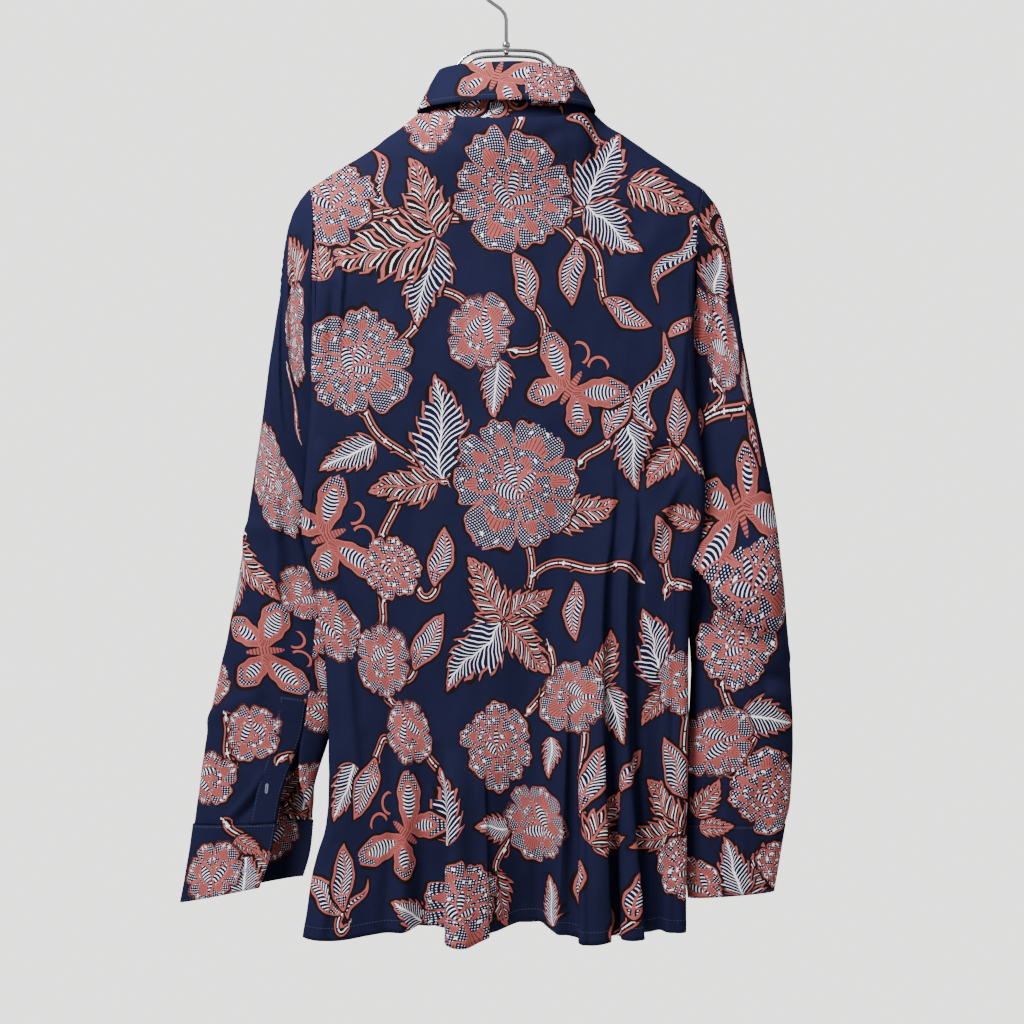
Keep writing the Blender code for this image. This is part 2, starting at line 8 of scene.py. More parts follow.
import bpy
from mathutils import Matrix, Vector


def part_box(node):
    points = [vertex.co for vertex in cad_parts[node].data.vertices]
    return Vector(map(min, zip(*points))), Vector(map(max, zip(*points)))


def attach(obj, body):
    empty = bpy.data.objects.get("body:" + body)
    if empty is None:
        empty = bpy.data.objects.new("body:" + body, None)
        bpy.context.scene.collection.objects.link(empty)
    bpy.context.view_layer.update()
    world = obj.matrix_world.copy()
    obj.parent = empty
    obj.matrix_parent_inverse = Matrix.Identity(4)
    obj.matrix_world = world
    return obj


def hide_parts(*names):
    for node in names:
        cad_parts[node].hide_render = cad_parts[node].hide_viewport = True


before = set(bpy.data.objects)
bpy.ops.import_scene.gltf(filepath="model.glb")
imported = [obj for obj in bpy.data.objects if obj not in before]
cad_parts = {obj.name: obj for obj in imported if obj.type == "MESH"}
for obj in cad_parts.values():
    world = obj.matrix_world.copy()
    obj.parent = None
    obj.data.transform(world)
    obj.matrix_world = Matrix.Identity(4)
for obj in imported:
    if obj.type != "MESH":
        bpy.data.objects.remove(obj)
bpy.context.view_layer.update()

import math
from collections import namedtuple

import bpy
import numpy as np
from mathutils import Matrix, Vector
from mathutils import noise as turbulence

bl_info = {
    "name": "Batik Shirt",
    "version": (1, 0, 0),
    "blender": (4, 5, 0),
    "location": "View3D > Sidebar > Shirt",
    "description": "Makes a printed shirt on a wire hanger, with its stage",
    "category": "Add Mesh",
}

MM = 0.001
TAU = math.tau
BACK, FRONT = -1, 1
WRONG_SIDE = 0.62
SURFACES = {}

# The shirt's sizes
HALF_GIRTH = 245.0
BACK_DEPTH = 27.0
FRONT_DEPTH = 26.0
ROLL = 7.0
SHOULDER_FALL = 110.0
NECK_EASE = 85.0
EDGE_EASE = 25.0
FRONT_LAP_EASE = 30.0
HEM_Z = -857.0
HEM_DROP_PER_FOLD = 0.33
TIP_X = 172.0
TIP_Z = -207.0
UNDERARM_Z = -430.0
ARMHOLE_HOLLOW = 2.2
NECK_HALF = 77.0
OVERLAP = 15.0
SEAM_GAP = 0.4
ARMHOLE_GAP = 1.0
LIFT = 1.2
SLEEVE_CLEAR = 3.4

Shoulder = namedtuple("Shoulder", "x z")
SHOULDERS = [Shoulder(77, -140), Shoulder(95, -155), Shoulder(133, -181), Shoulder(TIP_X, TIP_Z)]

Level = namedtuple("Level", "z left right left_turn right_turn")
LEVELS = [
    Level(-207, 172, 172, 171, 171),
    Level(-300, 169, 165, 171, 171),
    Level(-390, 170, 165, 171, 171),
    Level(-430, 173, 169, 171, 171),
    Level(-475, 177, 173, 174, 174),
    Level(-510, 179, 171, 177, 178),
    Level(-550, 171, 163, 181, 184),
    Level(-615, 158, 159, 187, 190),
    Level(-700, 155, 158, 193, 196),
    Level(-760, 156, 157, 199, 198),
    Level(-805, 168, 157, 205, 200),
    Level(-875, 179, 157, 212, 203),
]

Fold = namedtuple("Fold", "x_top z_top x_hem out half_width")
BACK_FOLDS = [
    Fold(-150, -740, -152, 13, 52),
    Fold(-72, -600, -72, -16, 20),
    Fold(-45, -640, -38, 26, 27),
    Fold(14, -600, 18, -21, 36),
    Fold(86, -470, 72, 20, 27),
    Fold(110, -470, 106, 11, 19),
    Fold(150, -330, 142, -13, 24),
]
FRONT_FOLDS = [
    Fold(-140, -640, -138, 12, 26),
    Fold(-104, -560, -106, -13, 22),
    Fold(-62, -480, -70, 21, 28),
    Fold(-26, -620, -30, -9, 20),
    Fold(48, -560, 44, -14, 26),
    Fold(88, -420, 84, 22, 28),
    Fold(128, -540, 126, -12, 22),
]

Ring = namedtuple("Ring", "half_width back front z_back z_side z_front")
NECK = Ring(NECK_HALF, 40, 44, -151, -141, -208)
STAND_RINGS = [
    Ring(75.4, 38.6, 42.6, -154.0, -144.0, -211.0),
    Ring(68.5, 34.5, 40.8, -134.0, -128.5, -194.0),
    Ring(58.5, 29.5, 38.0, -113.5, -114.0, -181.0),
]
FALL_RINGS = [
    Ring(58.0, 29.2, 37.8, -112.4, -112.9, -179.9),
    Ring(56.2, 28.0, 37.0, -103.0, -105.0, -174.5),
    Ring(58.2, 29.8, 39.0, -100.0, -102.2, -171.5),
    Ring(60.8, 32.2, 41.4, -102.8, -104.8, -174.3),
    Ring(69.0, 38.8, 46.5, -118.0, -119.0, -193.0),
    Ring(79.0, 46.0, 50.5, -136.0, -138.0, -214.0),
]
STAND_END = 12.0
STAND_LAP = 1.2
FALL_END = 5.0
COLLAR_POINT_OUT = 34.0
COLLAR_POINT_DROP = 16.0

Section = namedtuple("Section", "outer_x outer_z inner_x inner_z half_depth tail forward hollow")
LEFT_SLEEVE = [
    Section(182, -217, 120, -433, 19, 0.35, 0, 3.0),
    Section(189, -231, 124, -439, 18, 0.38, 0, 2.9),
    Section(193, -252, 127, -448, 18, 0.40, 0, 2.7),
    Section(198, -290, 129, -464, 18, 0.40, 0, 2.5),
    Section(205, -340, 131, -482, 21, 0.45, 0, 2.2),
    Section(213, -395, 132, -505, 24, 0.45, 1, 1.9),
    Section(222, -455, 134, -535, 25, 0.40, 1, 1.6),
    Section(231, -522, 139, -575, 25, 0.35, 1, 1.35),
    Section(244, -590, 146, -620, 24, 0.35, 1, 1.15),
    Section(256, -648, 151, -662, 22, 0.25, 2, 1.05),
    Section(265, -692, 158, -697, 20, 0.10, 3, 1.0),
    Section(271, -733, 169, -733, 18, 0.0, 3, 1.0),
    Section(275, -766, 171, -763, 17, 0.0, 2, 1.0),
]
RIGHT_SLEEVE = [
    Section(183, -219, 120, -433, 19, 0.35, 0, 3.0),
    Section(190, -233, 124, -439, 18, 0.38, 0, 2.9),
    Section(196, -256, 127, -448, 18, 0.40, 0, 2.7),
    Section(202, -296, 129, -464, 18, 0.40, 0, 2.5),
    Section(208, -343, 132, -482, 21, 0.45, 0, 2.2),
    Section(217, -395, 136, -505, 24, 0.45, 0, 1.9),
    Section(230, -452, 143, -530, 25, 0.40, 0, 1.6),
    Section(240, -515, 152, -562, 25, 0.30, 0, 1.35),
    Section(247, -580, 160, -602, 24, 0.15, 0, 1.15),
    Section(251, -640, 161.5, -652, 22, 0.05, 0, 1.05),
    Section(253, -695, 157.5, -698, 20, 0.0, 0, 1.0),
    Section(251, -742, 155, -738, 18, 0.0, 0, 1.0),
    Section(245, -767, 155.5, -766, 17, 0.0, 0, 1.0),
]
LEFT_CUFF = [
    Section(276.2, -765.5, 170.0, -762.5, 18.0, 0.0, 2, 1.0),
    Section(281, -800, 173, -791, 16, 0.0, 1, 1.0),
    Section(287, -834, 179, -812, 15, 0.0, 0, 1.0),
]
RIGHT_CUFF = [
    Section(246, -765.5, 155, -764.5, 18.0, 0.0, 0, 1.0),
    Section(241, -795, 157, -797, 16, 0.0, 0, 1.0),
    Section(236, -824, 160, -830, 15, 0.0, 0, 1.0),
]
Slit = namedtuple("Slit", "side face top_row top_share cuff_share hem_share open_share strip")
LEFT_SLIT = Slit(-1, BACK, 9.7, 0.79, 0.71, 0.66, 1.0, 0.21)
RIGHT_SLIT = Slit(1, FRONT, 9.7, 0.32, 0.34, 0.36, 0.0, 0.24)
CUFF_OVERLAP = 0.16
CUFF_EASE = 0.08
CUFF_UNDER = 2.0
PLACKET_ABOVE = 0.8
PLACKET_PAST = 0.01

# A crease is a soft ridge, or a trough if its lift is negative, from one seen place to another. One
# with a lean falls away more steeply on its right as seen from behind, and on its left if the lean
# is negative. One past TUCK_LEAN also hangs over the cloth below it, and one that ends below the
# hem is at its deepest there.
HEM_RUN = 0.56
TUCK_LEAN = -2.0
TUCK_FALL = np.array([-0.55, 0.0, -0.60])
Crease = namedtuple("Crease", "x z to_x to_z lift width bow lean")
BACK_CREASES = [
    Crease(92, -452, 87, -890, 9.0, 15, 0, 0.86),
    Crease(97, -520, 95, -890, -7.0, 5, 0, 0),
    Crease(112, -470, 117, -890, 11.0, 15, 0, 0.88),
    Crease(122, -500, 124, -890, -8.0, 5, 0, 0),
    Crease(146, -560, 144, -890, 5.0, 12, 0, 0.8),
    Crease(-61, -690, -62, -890, -9.0, 6, 0, 0),
    Crease(-46, -700, -47, -890, 5.0, 8, 0, -0.5),
    Crease(-20, -710, -16, -890, 7.0, 10, 0, 0.85),
    Crease(54, -640, 47, -890, 8.0, 12, 0, 0.85),
    Crease(60, -680, 55, -890, -6.0, 5, 0, 0),
    Crease(28, -740, 24, -890, -5.0, 8, 0, 0),
    Crease(72, -600, 68, -890, 5.0, 9, 0, 0.8),
    Crease(-139, -262, -146, -356, 4.6, 6, 2, 0.8),
    Crease(-148, -290, -152, -376, -4.0, 5, 2, 0),
    Crease(-162, -226, -118, -264, -1.8, 8, 4, 0),
    Crease(64, -160, 16, -182, -1.8, 7, 6, 0),
    Crease(-66, -160, -20, -184, -1.9, 8, -6, 0),
    Crease(152, -230, 84, -330, 2.4, 14, 8, 0),
    Crease(-150, -240, -86, -340, -2.0, 12, -8, 0),
    Crease(156, -330, 148, -440, 3.6, 8, -2, 0.7),
    Crease(152, -430, 108, -474, -4.2, 7, 4, 0),
    Crease(156, -456, 116, -540, 4.2, 9, 5, 0.6),
    Crease(-168, -430, -112, -530, 3.6, 11, -8, 0.4),
    Crease(-170, -470, -128, -600, -4.0, 9, -8, 0),
    Crease(-152, -560, -126, -740, 4.0, 11, 4, 0.4),
    Crease(-108, -600, -100, -890, -3.6, 9, 3, 0),
    Crease(20, -300, 28, -480, 1.6, 14, 4, 0),
    Crease(-60, -380, -70, -580, -2.0, 14, 5, 0),
    Crease(44, -470, 30, -640, -2.4, 12, -4, 0),
    Crease(-142, -780, -164, -890, 5.0, 12, 0, 0.6),
]
FRONT_CREASES = [
    Crease(-120, -240, -146, -340, 1.6, 9, 6, 0),
    Crease(110, -250, 146, -350, -1.6, 9, -6, 0),
    Crease(-70, -500, -66, -880, 3.0, 8, 0, 0.4),
    Crease(-112, -540, -104, -880, -2.6, 6, 0, 0),
    Crease(80, -440, 86, -880, 3.4, 8, 0, 0.5),
    Crease(100, -440, 96, -880, -3.0, 6, 0, 0),
    Crease(-139, -268, -146, -352, 2.4, 4, 2, 0.5),
    Crease(128, -560, 132, -880, 2.6, 8, 0, 0),
    Crease(60, -160, 40, -230, -1.2, 9, 6, 0),
    Crease(-60, -160, -44, -240, -1.2, 9, 6, 0),
    Crease(34, -300, 30, -520, 1.0, 12, 4, 0),
    Crease(-36, -330, -40, -560, -1.0, 12, 4, 0),
]
LEFT_SLEEVE_CREASES = [
    Crease(-190, -236, -196, -420, 3.4, 6, 3, 0.6),
    Crease(-178, -250, -180, -400, -3.6, 6, 2, 0),
    Crease(-200, -430, -202, -560, 2.6, 6, -2, 0.6),
    Crease(-196, -470, -193, -640, -2.4, 8, 2, 0),
    Crease(-176, -500, -168, -640, 2.6, 8, 3, 0.3),
    Crease(-222, -580, -182, -640, -2.4, 7, -6, 0),
    Crease(-228, -600, -190, -668, 2.4, 7, -8, 0.3),
    Crease(-212, -716, -246, -760, 3.4, 5, 4, 0.5),
    Crease(-206, -720, -238, -764, -2.6, 5, 4, 0),
    Crease(-250, -690, -226, -756, -1.6, 8, 0, 0),
    Crease(-262, -706, -258, -764, 1.6, 6, 0, 0),
    Crease(-236, -560, -216, -596, -1.4, 6, 5, 0),
    Crease(-176, -650, -172, -750, 2.2, 7, 0, 0),
]
RIGHT_SLEEVE_CREASES = [
    Crease(152, -508, 230, -600, 14.0, 3.6, 3, -4.5),
    Crease(158, -556, 208, -618, -10.0, 9, 4, 0),
    Crease(206, -600, 222, -660, 3.4, 9, 5, 0.3),
    Crease(248, -600, 224, -560, -2.6, 7, 5, 0),
    Crease(250, -622, 222, -604, 3.4, 7, 4, 0),
    Crease(252, -640, 220, -636, -3.4, 6, 3, 0),
    Crease(250, -660, 226, -650, 2.8, 6, 3, 0),
    Crease(178, -250, 172, -400, -3.0, 7, 3, 0),
    Crease(188, -240, 184, -380, 2.6, 7, 3, 0),
    Crease(176, -420, 184, -500, -2.4, 7, -3, 0),
    Crease(206, -380, 216, -480, 1.5, 9, 4, 0),
    Crease(240, -700, 190, -764, 1.8, 9, 5, 0),
    Crease(190, -690, 176, -764, -1.6, 8, 3, 0),
    Crease(212, -716, 206, -766, 2.0, 6, 0, 0),
    Crease(226, -730, 224, -766, -1.8, 5, 0, 0),
]
CUFF_CREASES = [
    Crease(206, -766, 206, -826, 1.6, 5, 0, 0.4),
    Crease(-206, -770, -202, -822, 1.4, 7, 0, 0),
    Crease(-250, -770, -256, -830, -1.0, 9, 0, 0),
    Crease(224, -766, 226, -826, -1.2, 6, 0, 0),
]

# ---------------------------------------------------------------- settings


def length_setting(name, about, default):
    """A length in metres that a user may change."""
    return bpy.props.FloatProperty(
        name=name, description=about, default=default, min=0.0, precision=5, unit="LENGTH"
    )


def factor_setting(name, about, default, most=2.0):
    """A plain factor that a user may change."""
    return bpy.props.FloatProperty(
        name=name, description=about, default=default, min=0.0, max=most, subtype="FACTOR"
    )


def colour_setting(name, about, default):
    """A colour that a user may change."""
    return bpy.props.FloatVectorProperty(
        name=name, description=about, default=default, size=3, min=0.0, max=1.0, subtype="COLOR"
    )


class ClothSettings(bpy.types.PropertyGroup):
    """The cloth's thickness, grain and creases."""

    thickness: length_setting("Thickness", "Thickness of one layer of the cotton", 0.0006)
    grain: length_setting("Grain", "How far its threads stand out", 0.0002)
    creasing: factor_setting("Creasing", "Depth of the creases, against the tables'", 1.0)
    unevenness: factor_setting("Unevenness", "Slow waviness between the creases", 1.0)


class PrintSettings(bpy.types.PropertyGroup):
    """The inks of the print, and the size of its lines and dots."""

    ground: colour_setting("Ground", "Colour between the motifs", (0.0054, 0.0060, 0.0210))
    navy: colour_setting("Navy", "Colour behind the dots and stripes", (0.0042, 0.0050, 0.0190))
    coral: colour_setting("Coral", "Colour of outlines and petals", (0.235, 0.058, 0.056))
    deep_coral: colour_setting(
        "Deep coral", "Colour of the fine hatching on the petals", (0.062, 0.015, 0.012)
    )
    white: colour_setting("White", "Colour of dots, stripes and veins", (0.66, 0.62, 0.68))
    dark: colour_setting("Dark", "Colour of the edge round each motif", (0.0064, 0.0040, 0.0044))
    line: length_setting("Line", "Width of the outlines", 0.0015)
    halo: length_setting("Dark edge", "Width of the dark edge round each motif", 0.0028)
    dot_step: length_setting("Dot step", "Distance from one dot to the next", 0.0023)


class TrimSettings(bpy.types.PropertyGroup):
    """The buttons, the sewing thread and the hanger."""

    button: colour_setting("Button", "Colour of the buttons", (0.035, 0.028, 0.050))
    thread: colour_setting("Thread", "Colour of the sewing thread", (0.030, 0.032, 0.075))
    hole_thread: colour_setting(
        "Buttonhole thread", "Colour of the buttonholes on the cuffs", (0.16, 0.17, 0.24)
    )
    chrome: colour_setting("Chrome", "Colour of the hanger's wires", (0.36, 0.37, 0.39))
    stitch: length_setting("Stitch", "Length of one stitch", 0.0019)
    stitch_gap: length_setting("Stitch gap", "Cloth left between two stitches", 0.0009)
    stitch_width: length_setting("Stitch width", "Width of the sewing thread", 0.00042)


class StageSettings(bpy.types.PropertyGroup):
    """The lights, the floor and the view."""

    key_power: bpy.props.FloatProperty(
        name="Key light",
        description="Power of the light above on the left",
        default=128.0,
        min=0.0,
        unit="POWER",
    )
    surround: factor_setting("Surround", "Strength of the light from all round", 0.76, most=10.0)
    floor: colour_setting("Floor", "Colour of the floor", (0.82, 0.81, 0.79))
    view: bpy.props.FloatProperty(
        name="View angle",
        description="Width of the camera's view",
        default=math.radians(25.4),
        unit="ROTATION",
    )


# ---------------------------------------------------------------- reading the tables


def ease(value):
    """Smooth step from 0 to 1."""
    value = np.clip(value, 0.0, 1.0)
    return value * value * (3 - 2 * value)


def read(rows, key, column):
    """A column of a table at each key, on a smooth curve through its rows."""
    keys = np.array([row[0] for row in rows], float)
    values = np.array([getattr(row, column) for row in rows], float)
    if keys[0] > keys[-1]:
        keys, values = keys[::-1], values[::-1]
    return smooth(keys, values, key)


def smooth(keys, values, key):
    """The smooth curve through values at keys, read at each key."""
    key = np.clip(key, keys[0], keys[-1])
    at = np.clip(np.searchsorted(keys, key, side="right") - 1, 0, len(keys) - 2)
    before = np.maximum(at - 1, 0)
    after = np.minimum(at + 2, len(keys) - 1)
    span = keys[at + 1] - keys[at]
    part = (key - keys[at]) / span
    slope_a = (values[at + 1] - values[before]) / (keys[at + 1] - keys[before]) * span
    slope_b = (values[after] - values[at]) / (keys[after] - keys[at]) * span
    square, cube = part**2, part**3
    return (
        values[at] * (2 * cube - 3 * square + 1)
        + slope_a * (cube - 2 * square + part)
        + values[at + 1] * (3 * square - 2 * cube)
        + slope_b * (cube - square)
    )


# ---------------------------------------------------------------- the body


def shoulder_z(x):
    """The height of the shoulder line."""
    return read(SHOULDERS, np.clip(np.abs(x), NECK_HALF, TIP_X), "z")


def fullness(x, z):
    """0 at the shoulder line and 1 where the cloth hangs clear of it, round like an arc."""
    fallen = np.clip((shoulder_z(x) - z) / SHOULDER_FALL, 0, 1)
    return np.sqrt(1 - (1 - fallen) ** 2)


def outline(p, z):
    """The body's reach and where its turned side starts, on the side that thread p is on."""
    edge = np.where(p < 0, read(LEVELS, z, "left"), read(LEVELS, z, "right"))
    turn = np.where(p < 0, read(LEVELS, z, "left_turn"), read(LEVELS, z, "right_turn"))
    return edge, turn


def fold_out(face, x, z):
    """How far the hanging folds move a panel outwards. Hollows die out before its turned side."""
    edge, _ = outline(x, z)
    inside = ease((edge - ROLL - np.abs(x)) / EDGE_EASE)
    total = np.zeros_like(x)
    for fold in BACK_FOLDS if face == BACK else FRONT_FOLDS:
        down = np.clip((fold.z_top - z) / (fold.z_top - HEM_Z), 0, 1.1)
        middle = fold.x_top + (fold.x_hem - fold.x_top) * down
        away = np.clip(np.abs(x - middle) / fold.half_width, 0, 1)
        rise = fold.out * down**1.3 * 0.5 * (1 + np.cos(math.pi * away))
        total += rise if fold.out > 0 else rise * inside
    return total


def groove(turned):
    """Half the gap between the turned-in front and back, from 1 at its mouth to 0 at the seam."""
    return np.sqrt(np.maximum(0.0, 1 - turned * turned))


def hang(face, p, z):
    """Where thread p of a panel is at height z: flat, round the side, then in to the seam."""
    edge, turn = outline(p, z)
    reach = np.abs(p)
    full = fullness(np.minimum(reach, TIP_X), z)
    roll = ROLL * full
    tuck = HALF_GIRTH - math.pi * roll - turn
    depth = (BACK_DEPTH if face == BACK else FRONT_DEPTH) * full
    angle = np.clip((reach - turn) / np.maximum(roll, 0.001), 0, math.pi)
    turned = np.clip((reach - turn - math.pi * roll) / tuck, 0, 1)
    flat = reach <= turn
    round_x = edge - roll + roll * np.sin(angle) - tuck * turned
    x = np.where(flat, reach * (edge - roll) / turn, round_x)
    out = np.where(flat, depth, depth - roll * (1 - np.cos(angle)))
    out = np.where(turned > 0, (depth - 2 * roll) * groove(turned), out)
    weight = np.where(turned > 0, groove(turned), 1.0)
    x = np.copysign(x, p)
    return x, face * (out + weight * fold_out(face, x, z) + SEAM_GAP / 2)


def ring_point(ring, angle):
    """Points of a ring round the neck: angle 0 behind, a quarter turn at the wearer's right."""
    sine, cosine = np.sin(angle), np.cos(angle)
    depth = np.where(cosine > 0, ring.back, ring.front)
    end = np.where(cosine > 0, ring.z_back, ring.z_front)
    z = ring.z_side + (end - ring.z_side) * cosine**2
    return np.stack([ring.half_width * sine, -depth * cosine, z], -1)


def panel(face, lines, downs, lap=0.0):
    """The points of the back or a front: a thread for each line, downs from 0 at its top to 1."""
    p = np.array(lines, float)[None, :]
    reach = np.abs(p)
    angle = np.arcsin(np.clip(reach / NECK_HALF, 0, 1))
    neck = ring_point(NECK, angle if face == BACK else math.pi - angle)
    drop = (np.maximum(reach - TIP_X, 0) / (HALF_GIRTH - TIP_X)) ** (1 / ARMHOLE_HOLLOW)
    top = np.where(reach < NECK_HALF, neck[..., 2], shoulder_z(reach))
    top = np.where(reach > TIP_X, TIP_Z + (UNDERARM_Z - TIP_Z) * drop, top)
    hem_x, _ = hang(face, p, np.full_like(p, HEM_Z))
    hem = HEM_Z - HEM_DROP_PER_FOLD * fold_out(face, hem_x, np.full_like(p, HEM_Z))
    z = top + (hem - top) * np.array(downs, float)[:, None]
    p = np.broadcast_to(p, z.shape)
    x, y = hang(face, p, z)
    _, top_y = hang(face, p, np.broadcast_to(top, z.shape))
    near_neck = (np.abs(p) < NECK_HALF) * (1 - ease((top - z) / NECK_EASE))
    y = y + (neck[..., 1] - top_y) * near_neck
    y = y + lap * (1 - ease((p - OVERLAP) / FRONT_LAP_EASE))
    return np.stack([x, y, z], -1), np.stack([p, z], -1)


# ---------------------------------------------------------------- the sleeves


def armhole_point(side, face, drop):
    """The armhole seam, drop from 0 at the shoulder tip to 1 at the underarm."""
    z = TIP_Z + (UNDERARM_Z - TIP_Z) * drop
    reach = TIP_X + (HALF_GIRTH - TIP_X) * drop**ARMHOLE_HOLLOW
    x_back, y_back = hang(BACK, side * reach, z)
    x_front, y_front = hang(FRONT, side * reach, z)
    x, y = np.where(face == BACK, x_back, x_front), np.where(face == BACK, y_back, y_front)
    inside = (LIFT + 0.6) * ease((drop - 0.25) / 0.3)
    y = face * np.maximum(np.abs(y) - inside, 0.0)
    return np.stack([x + side * ARMHOLE_GAP, y, z], -1)


def room(side, face, x, z):
    """How deep a sleeve may be here, so that it stays inside the turned-in side of the body."""
    edge, turn = outline(np.full_like(z, side), z)
    tuck = HALF_GIRTH - math.pi * ROLL - turn
    depth = np.where(face == BACK, BACK_DEPTH, FRONT_DEPTH)
    mouth = (depth - 2 * ROLL) * fullness(np.full_like(z, TIP_X), z)
    reach = np.abs(x)
    bulge = mouth + ROLL - np.sqrt(np.maximum(0.0, ROLL**2 - (reach - edge + ROLL) ** 2))
    inner = mouth * groove(np.clip((edge - ROLL - reach) / tuck, 0, 1))
    outer = mouth + ROLL + 0.8 * (reach - edge)
    return np.where(reach > edge, outer, np.where(reach > edge - ROLL, bulge, inner))


def tube(side, rows, row, turn, sink=0.0):
    """A sleeve's or cuff's points. turn goes round: 0 outer edge, 0.25 back, 0.5 inner edge."""
    keys = np.arange(len(rows), dtype=float)
    cut = {}
    for name in Section._fields:
        cut[name] = smooth(keys, np.array([getattr(section, name) for section in rows], float), row)
    share = (1 - np.cos(TAU * turn)) / 2
    face = np.where(np.sin(TAU * turn) >= 0, BACK, FRONT)
    x = side * (cut["outer_x"] + (cut["inner_x"] - cut["outer_x"]) * share ** cut["hollow"])
    z = cut["outer_z"] + (cut["inner_z"] - cut["outer_z"]) * share
    round_part = np.abs(np.sin(TAU * turn)) ** 0.8
    depth = cut["half_depth"] * round_part * (1 - cut["tail"] * ease(share)) - sink
    most = room(side, face, x, z) - SLEEVE_CLEAR - face * cut["forward"]
    y = cut["forward"] + face * np.minimum(depth, np.maximum(most, 0.0))
    return np.stack([x, y, z], -1)


def sleeve(side, rows, row, turn):
    """As tube, with row -1 the armhole seam and row 0 the first section past it."""
    share = (1 - np.cos(TAU * turn)) / 2
    face = np.where(np.sin(TAU * turn) >= 0, BACK, FRONT)
    seam = armhole_point(side, face, share)
    first = tube(side, rows, np.zeros_like(turn), turn)
    past = tube(side, rows, np.maximum(row, 0), turn)
    blend = seam + (first - seam) * (row + 1)[..., None]
    return np.where((row < 0)[..., None], blend, past)


def slit_turn(slit, share):
    """The turn round the tube of a point this share of the way across it, on the slit's side."""
    turn = np.arccos(1 - 2 * np.clip(share, 0, 1)) / TAU
    return turn if slit.face == BACK else 1 - turn


def slit_share(slit, row, last):
    """How far across the tube the slit's upper edge lies."""
    down = np.clip((row - slit.top_row) / (last - slit.top_row), 0, 1)
    return slit.top_share + (slit.cuff_share - slit.top_share) * down


def sleeve_grid(rows, slit, across, down):
    """The points of a whole sleeve, from the slit's upper edge round to its free edge."""
    last = len(rows) - 1
    row = np.linspace(-1, last, down + 1)[:, None] * np.ones((1, across + 1))
    share = slit_share(slit, np.maximum(row, slit.top_row), last)
    start = slit_turn(slit, share)
    end = start - 1
    if slit.open_share:
        opened = ease((row - slit.top_row) / (last - slit.top_row))
        end = slit_turn(slit, share + (slit.open_share - share) * opened) - 1
    turn = start + (end - start) * np.linspace(0, 1, across + 1)[None, :]
    return sleeve(slit.side, rows, row, turn)


def cuff_grid(rows, slit, across, down):
    """The points of a cuff: open with its ends apart, or closed with one end under the other."""
    part = np.linspace(0, 1, across + 1)[None, :] * np.ones((down + 1, 1))
    low = np.linspace(0, 1, down + 1)[:, None] * np.ones((1, across + 1))
    start = slit_turn(slit, slit.cuff_share + (slit.hem_share - slit.cuff_share) * low)
    if slit.open_share:
        turn = start + (slit_turn(slit, slit.open_share) - 1 - start) * part
        return tube(slit.side, rows, low * (len(rows) - 1), turn)
    under = 1 - ease((part - CUFF_OVERLAP) / CUFF_EASE)
    turn = start + CUFF_OVERLAP / 2 - (1 + CUFF_OVERLAP) * part
    return tube(slit.side, rows, low * (len(rows) - 1), turn, sink=CUFF_UNDER * under)


def placket_grid(rows, slit, across, down):
    """The points of the strip sewn along a sleeve's slit, just off the sleeve."""
    last = len(rows) - 1
    row = np.linspace(slit.top_row - PLACKET_ABOVE, last - 0.02, down + 1)[:, None]
    row = row * np.ones((1, across + 1))
    strip = slit.strip * np.linspace(0, 1, across + 1)[None, :]
    share = slit_share(slit, row, last) - PLACKET_PAST - strip
    return tube(slit.side, rows, row, slit_turn(slit, share)) + np.array([0, slit.face * LIFT, 0])


# ---------------------------------------------------------------- from points to a piece of cloth

# Each layer of the unevenness: how high, how long each way, and a shift so that two don't agree.
RUMPLES = ((1.5, (26, 40, 110), 0), (0.5, (11, 16, 22), 400))


def flat_of(points, column):
    """Flat cloth places of a grid of points: distance round from a column, and distance down it."""
    step = np.linalg.norm(np.diff(points, axis=1), axis=2)
    round_it = np.concatenate([np.zeros((len(points), 1)), np.cumsum(step, axis=1)], 1)
    drop = np.linalg.norm(np.diff(points[:, column], axis=0), axis=1)
    down = np.concatenate([[0], np.cumsum(drop)])
    u = round_it - round_it[:, column : column + 1]
    return np.stack([u, np.broadcast_to(-down[:, None], u.shape)], -1)


def normals_of(points, closed):
    """Unit normals of a grid of points, one way round all over it."""
    across = np.gradient(points, axis=1)
    if closed:
        across[:, 0] = across[:, -1] = (points[:, 1] - points[:, -2]) / 2
    down = np.gradient(points, axis=0)
    normal = np.cross(across, down)
    return normal / np.maximum(np.linalg.norm(normal, axis=2, keepdims=True), 1e-9)


def crease_lift(flat, creases, find):
    """How far the creases lift each place of the cloth."""
    total = np.zeros(flat.shape[:2])
    depth = bpy.context.scene.batik_cloth.creasing
    for crease in creases:
        start = find(crease.x, crease.z)
        along = find(crease.to_x, crease.to_z) - start
        length = max(float(np.hypot(*along)), 1.0)
        away = flat - start
        part = away @ along / length**2
        if crease.to_z < HEM_Z:
            part = part * HEM_RUN
        across = (away[..., 0] * along[1] - away[..., 1] * along[0]) / length
        taper = np.clip(1 - (2 * part - 1) ** 2, 0, 1)
        across = across - crease.bow * taper
        width = crease.width * np.where(across < 0, 1 - crease.lean, 1)
        total += depth * crease.lift * np.sqrt(taper) * np.exp(-((across / width) ** 2))
    return total


def rumple(points, stretch):
    """Slow unevenness of the cloth, longer down than across, the same each time."""
    places = points.reshape(-1, 3) / stretch
    noise = np.array([turbulence.noise(Vector(place)) for place in places])
    return noise.reshape(points.shape[:2])


def is_closed(points):
    """True where a grid's first and last columns meet somewhere, so that its normals run on."""
    return bool(np.linalg.norm(points[0, 0] - points[0, -1]) < 0.01)


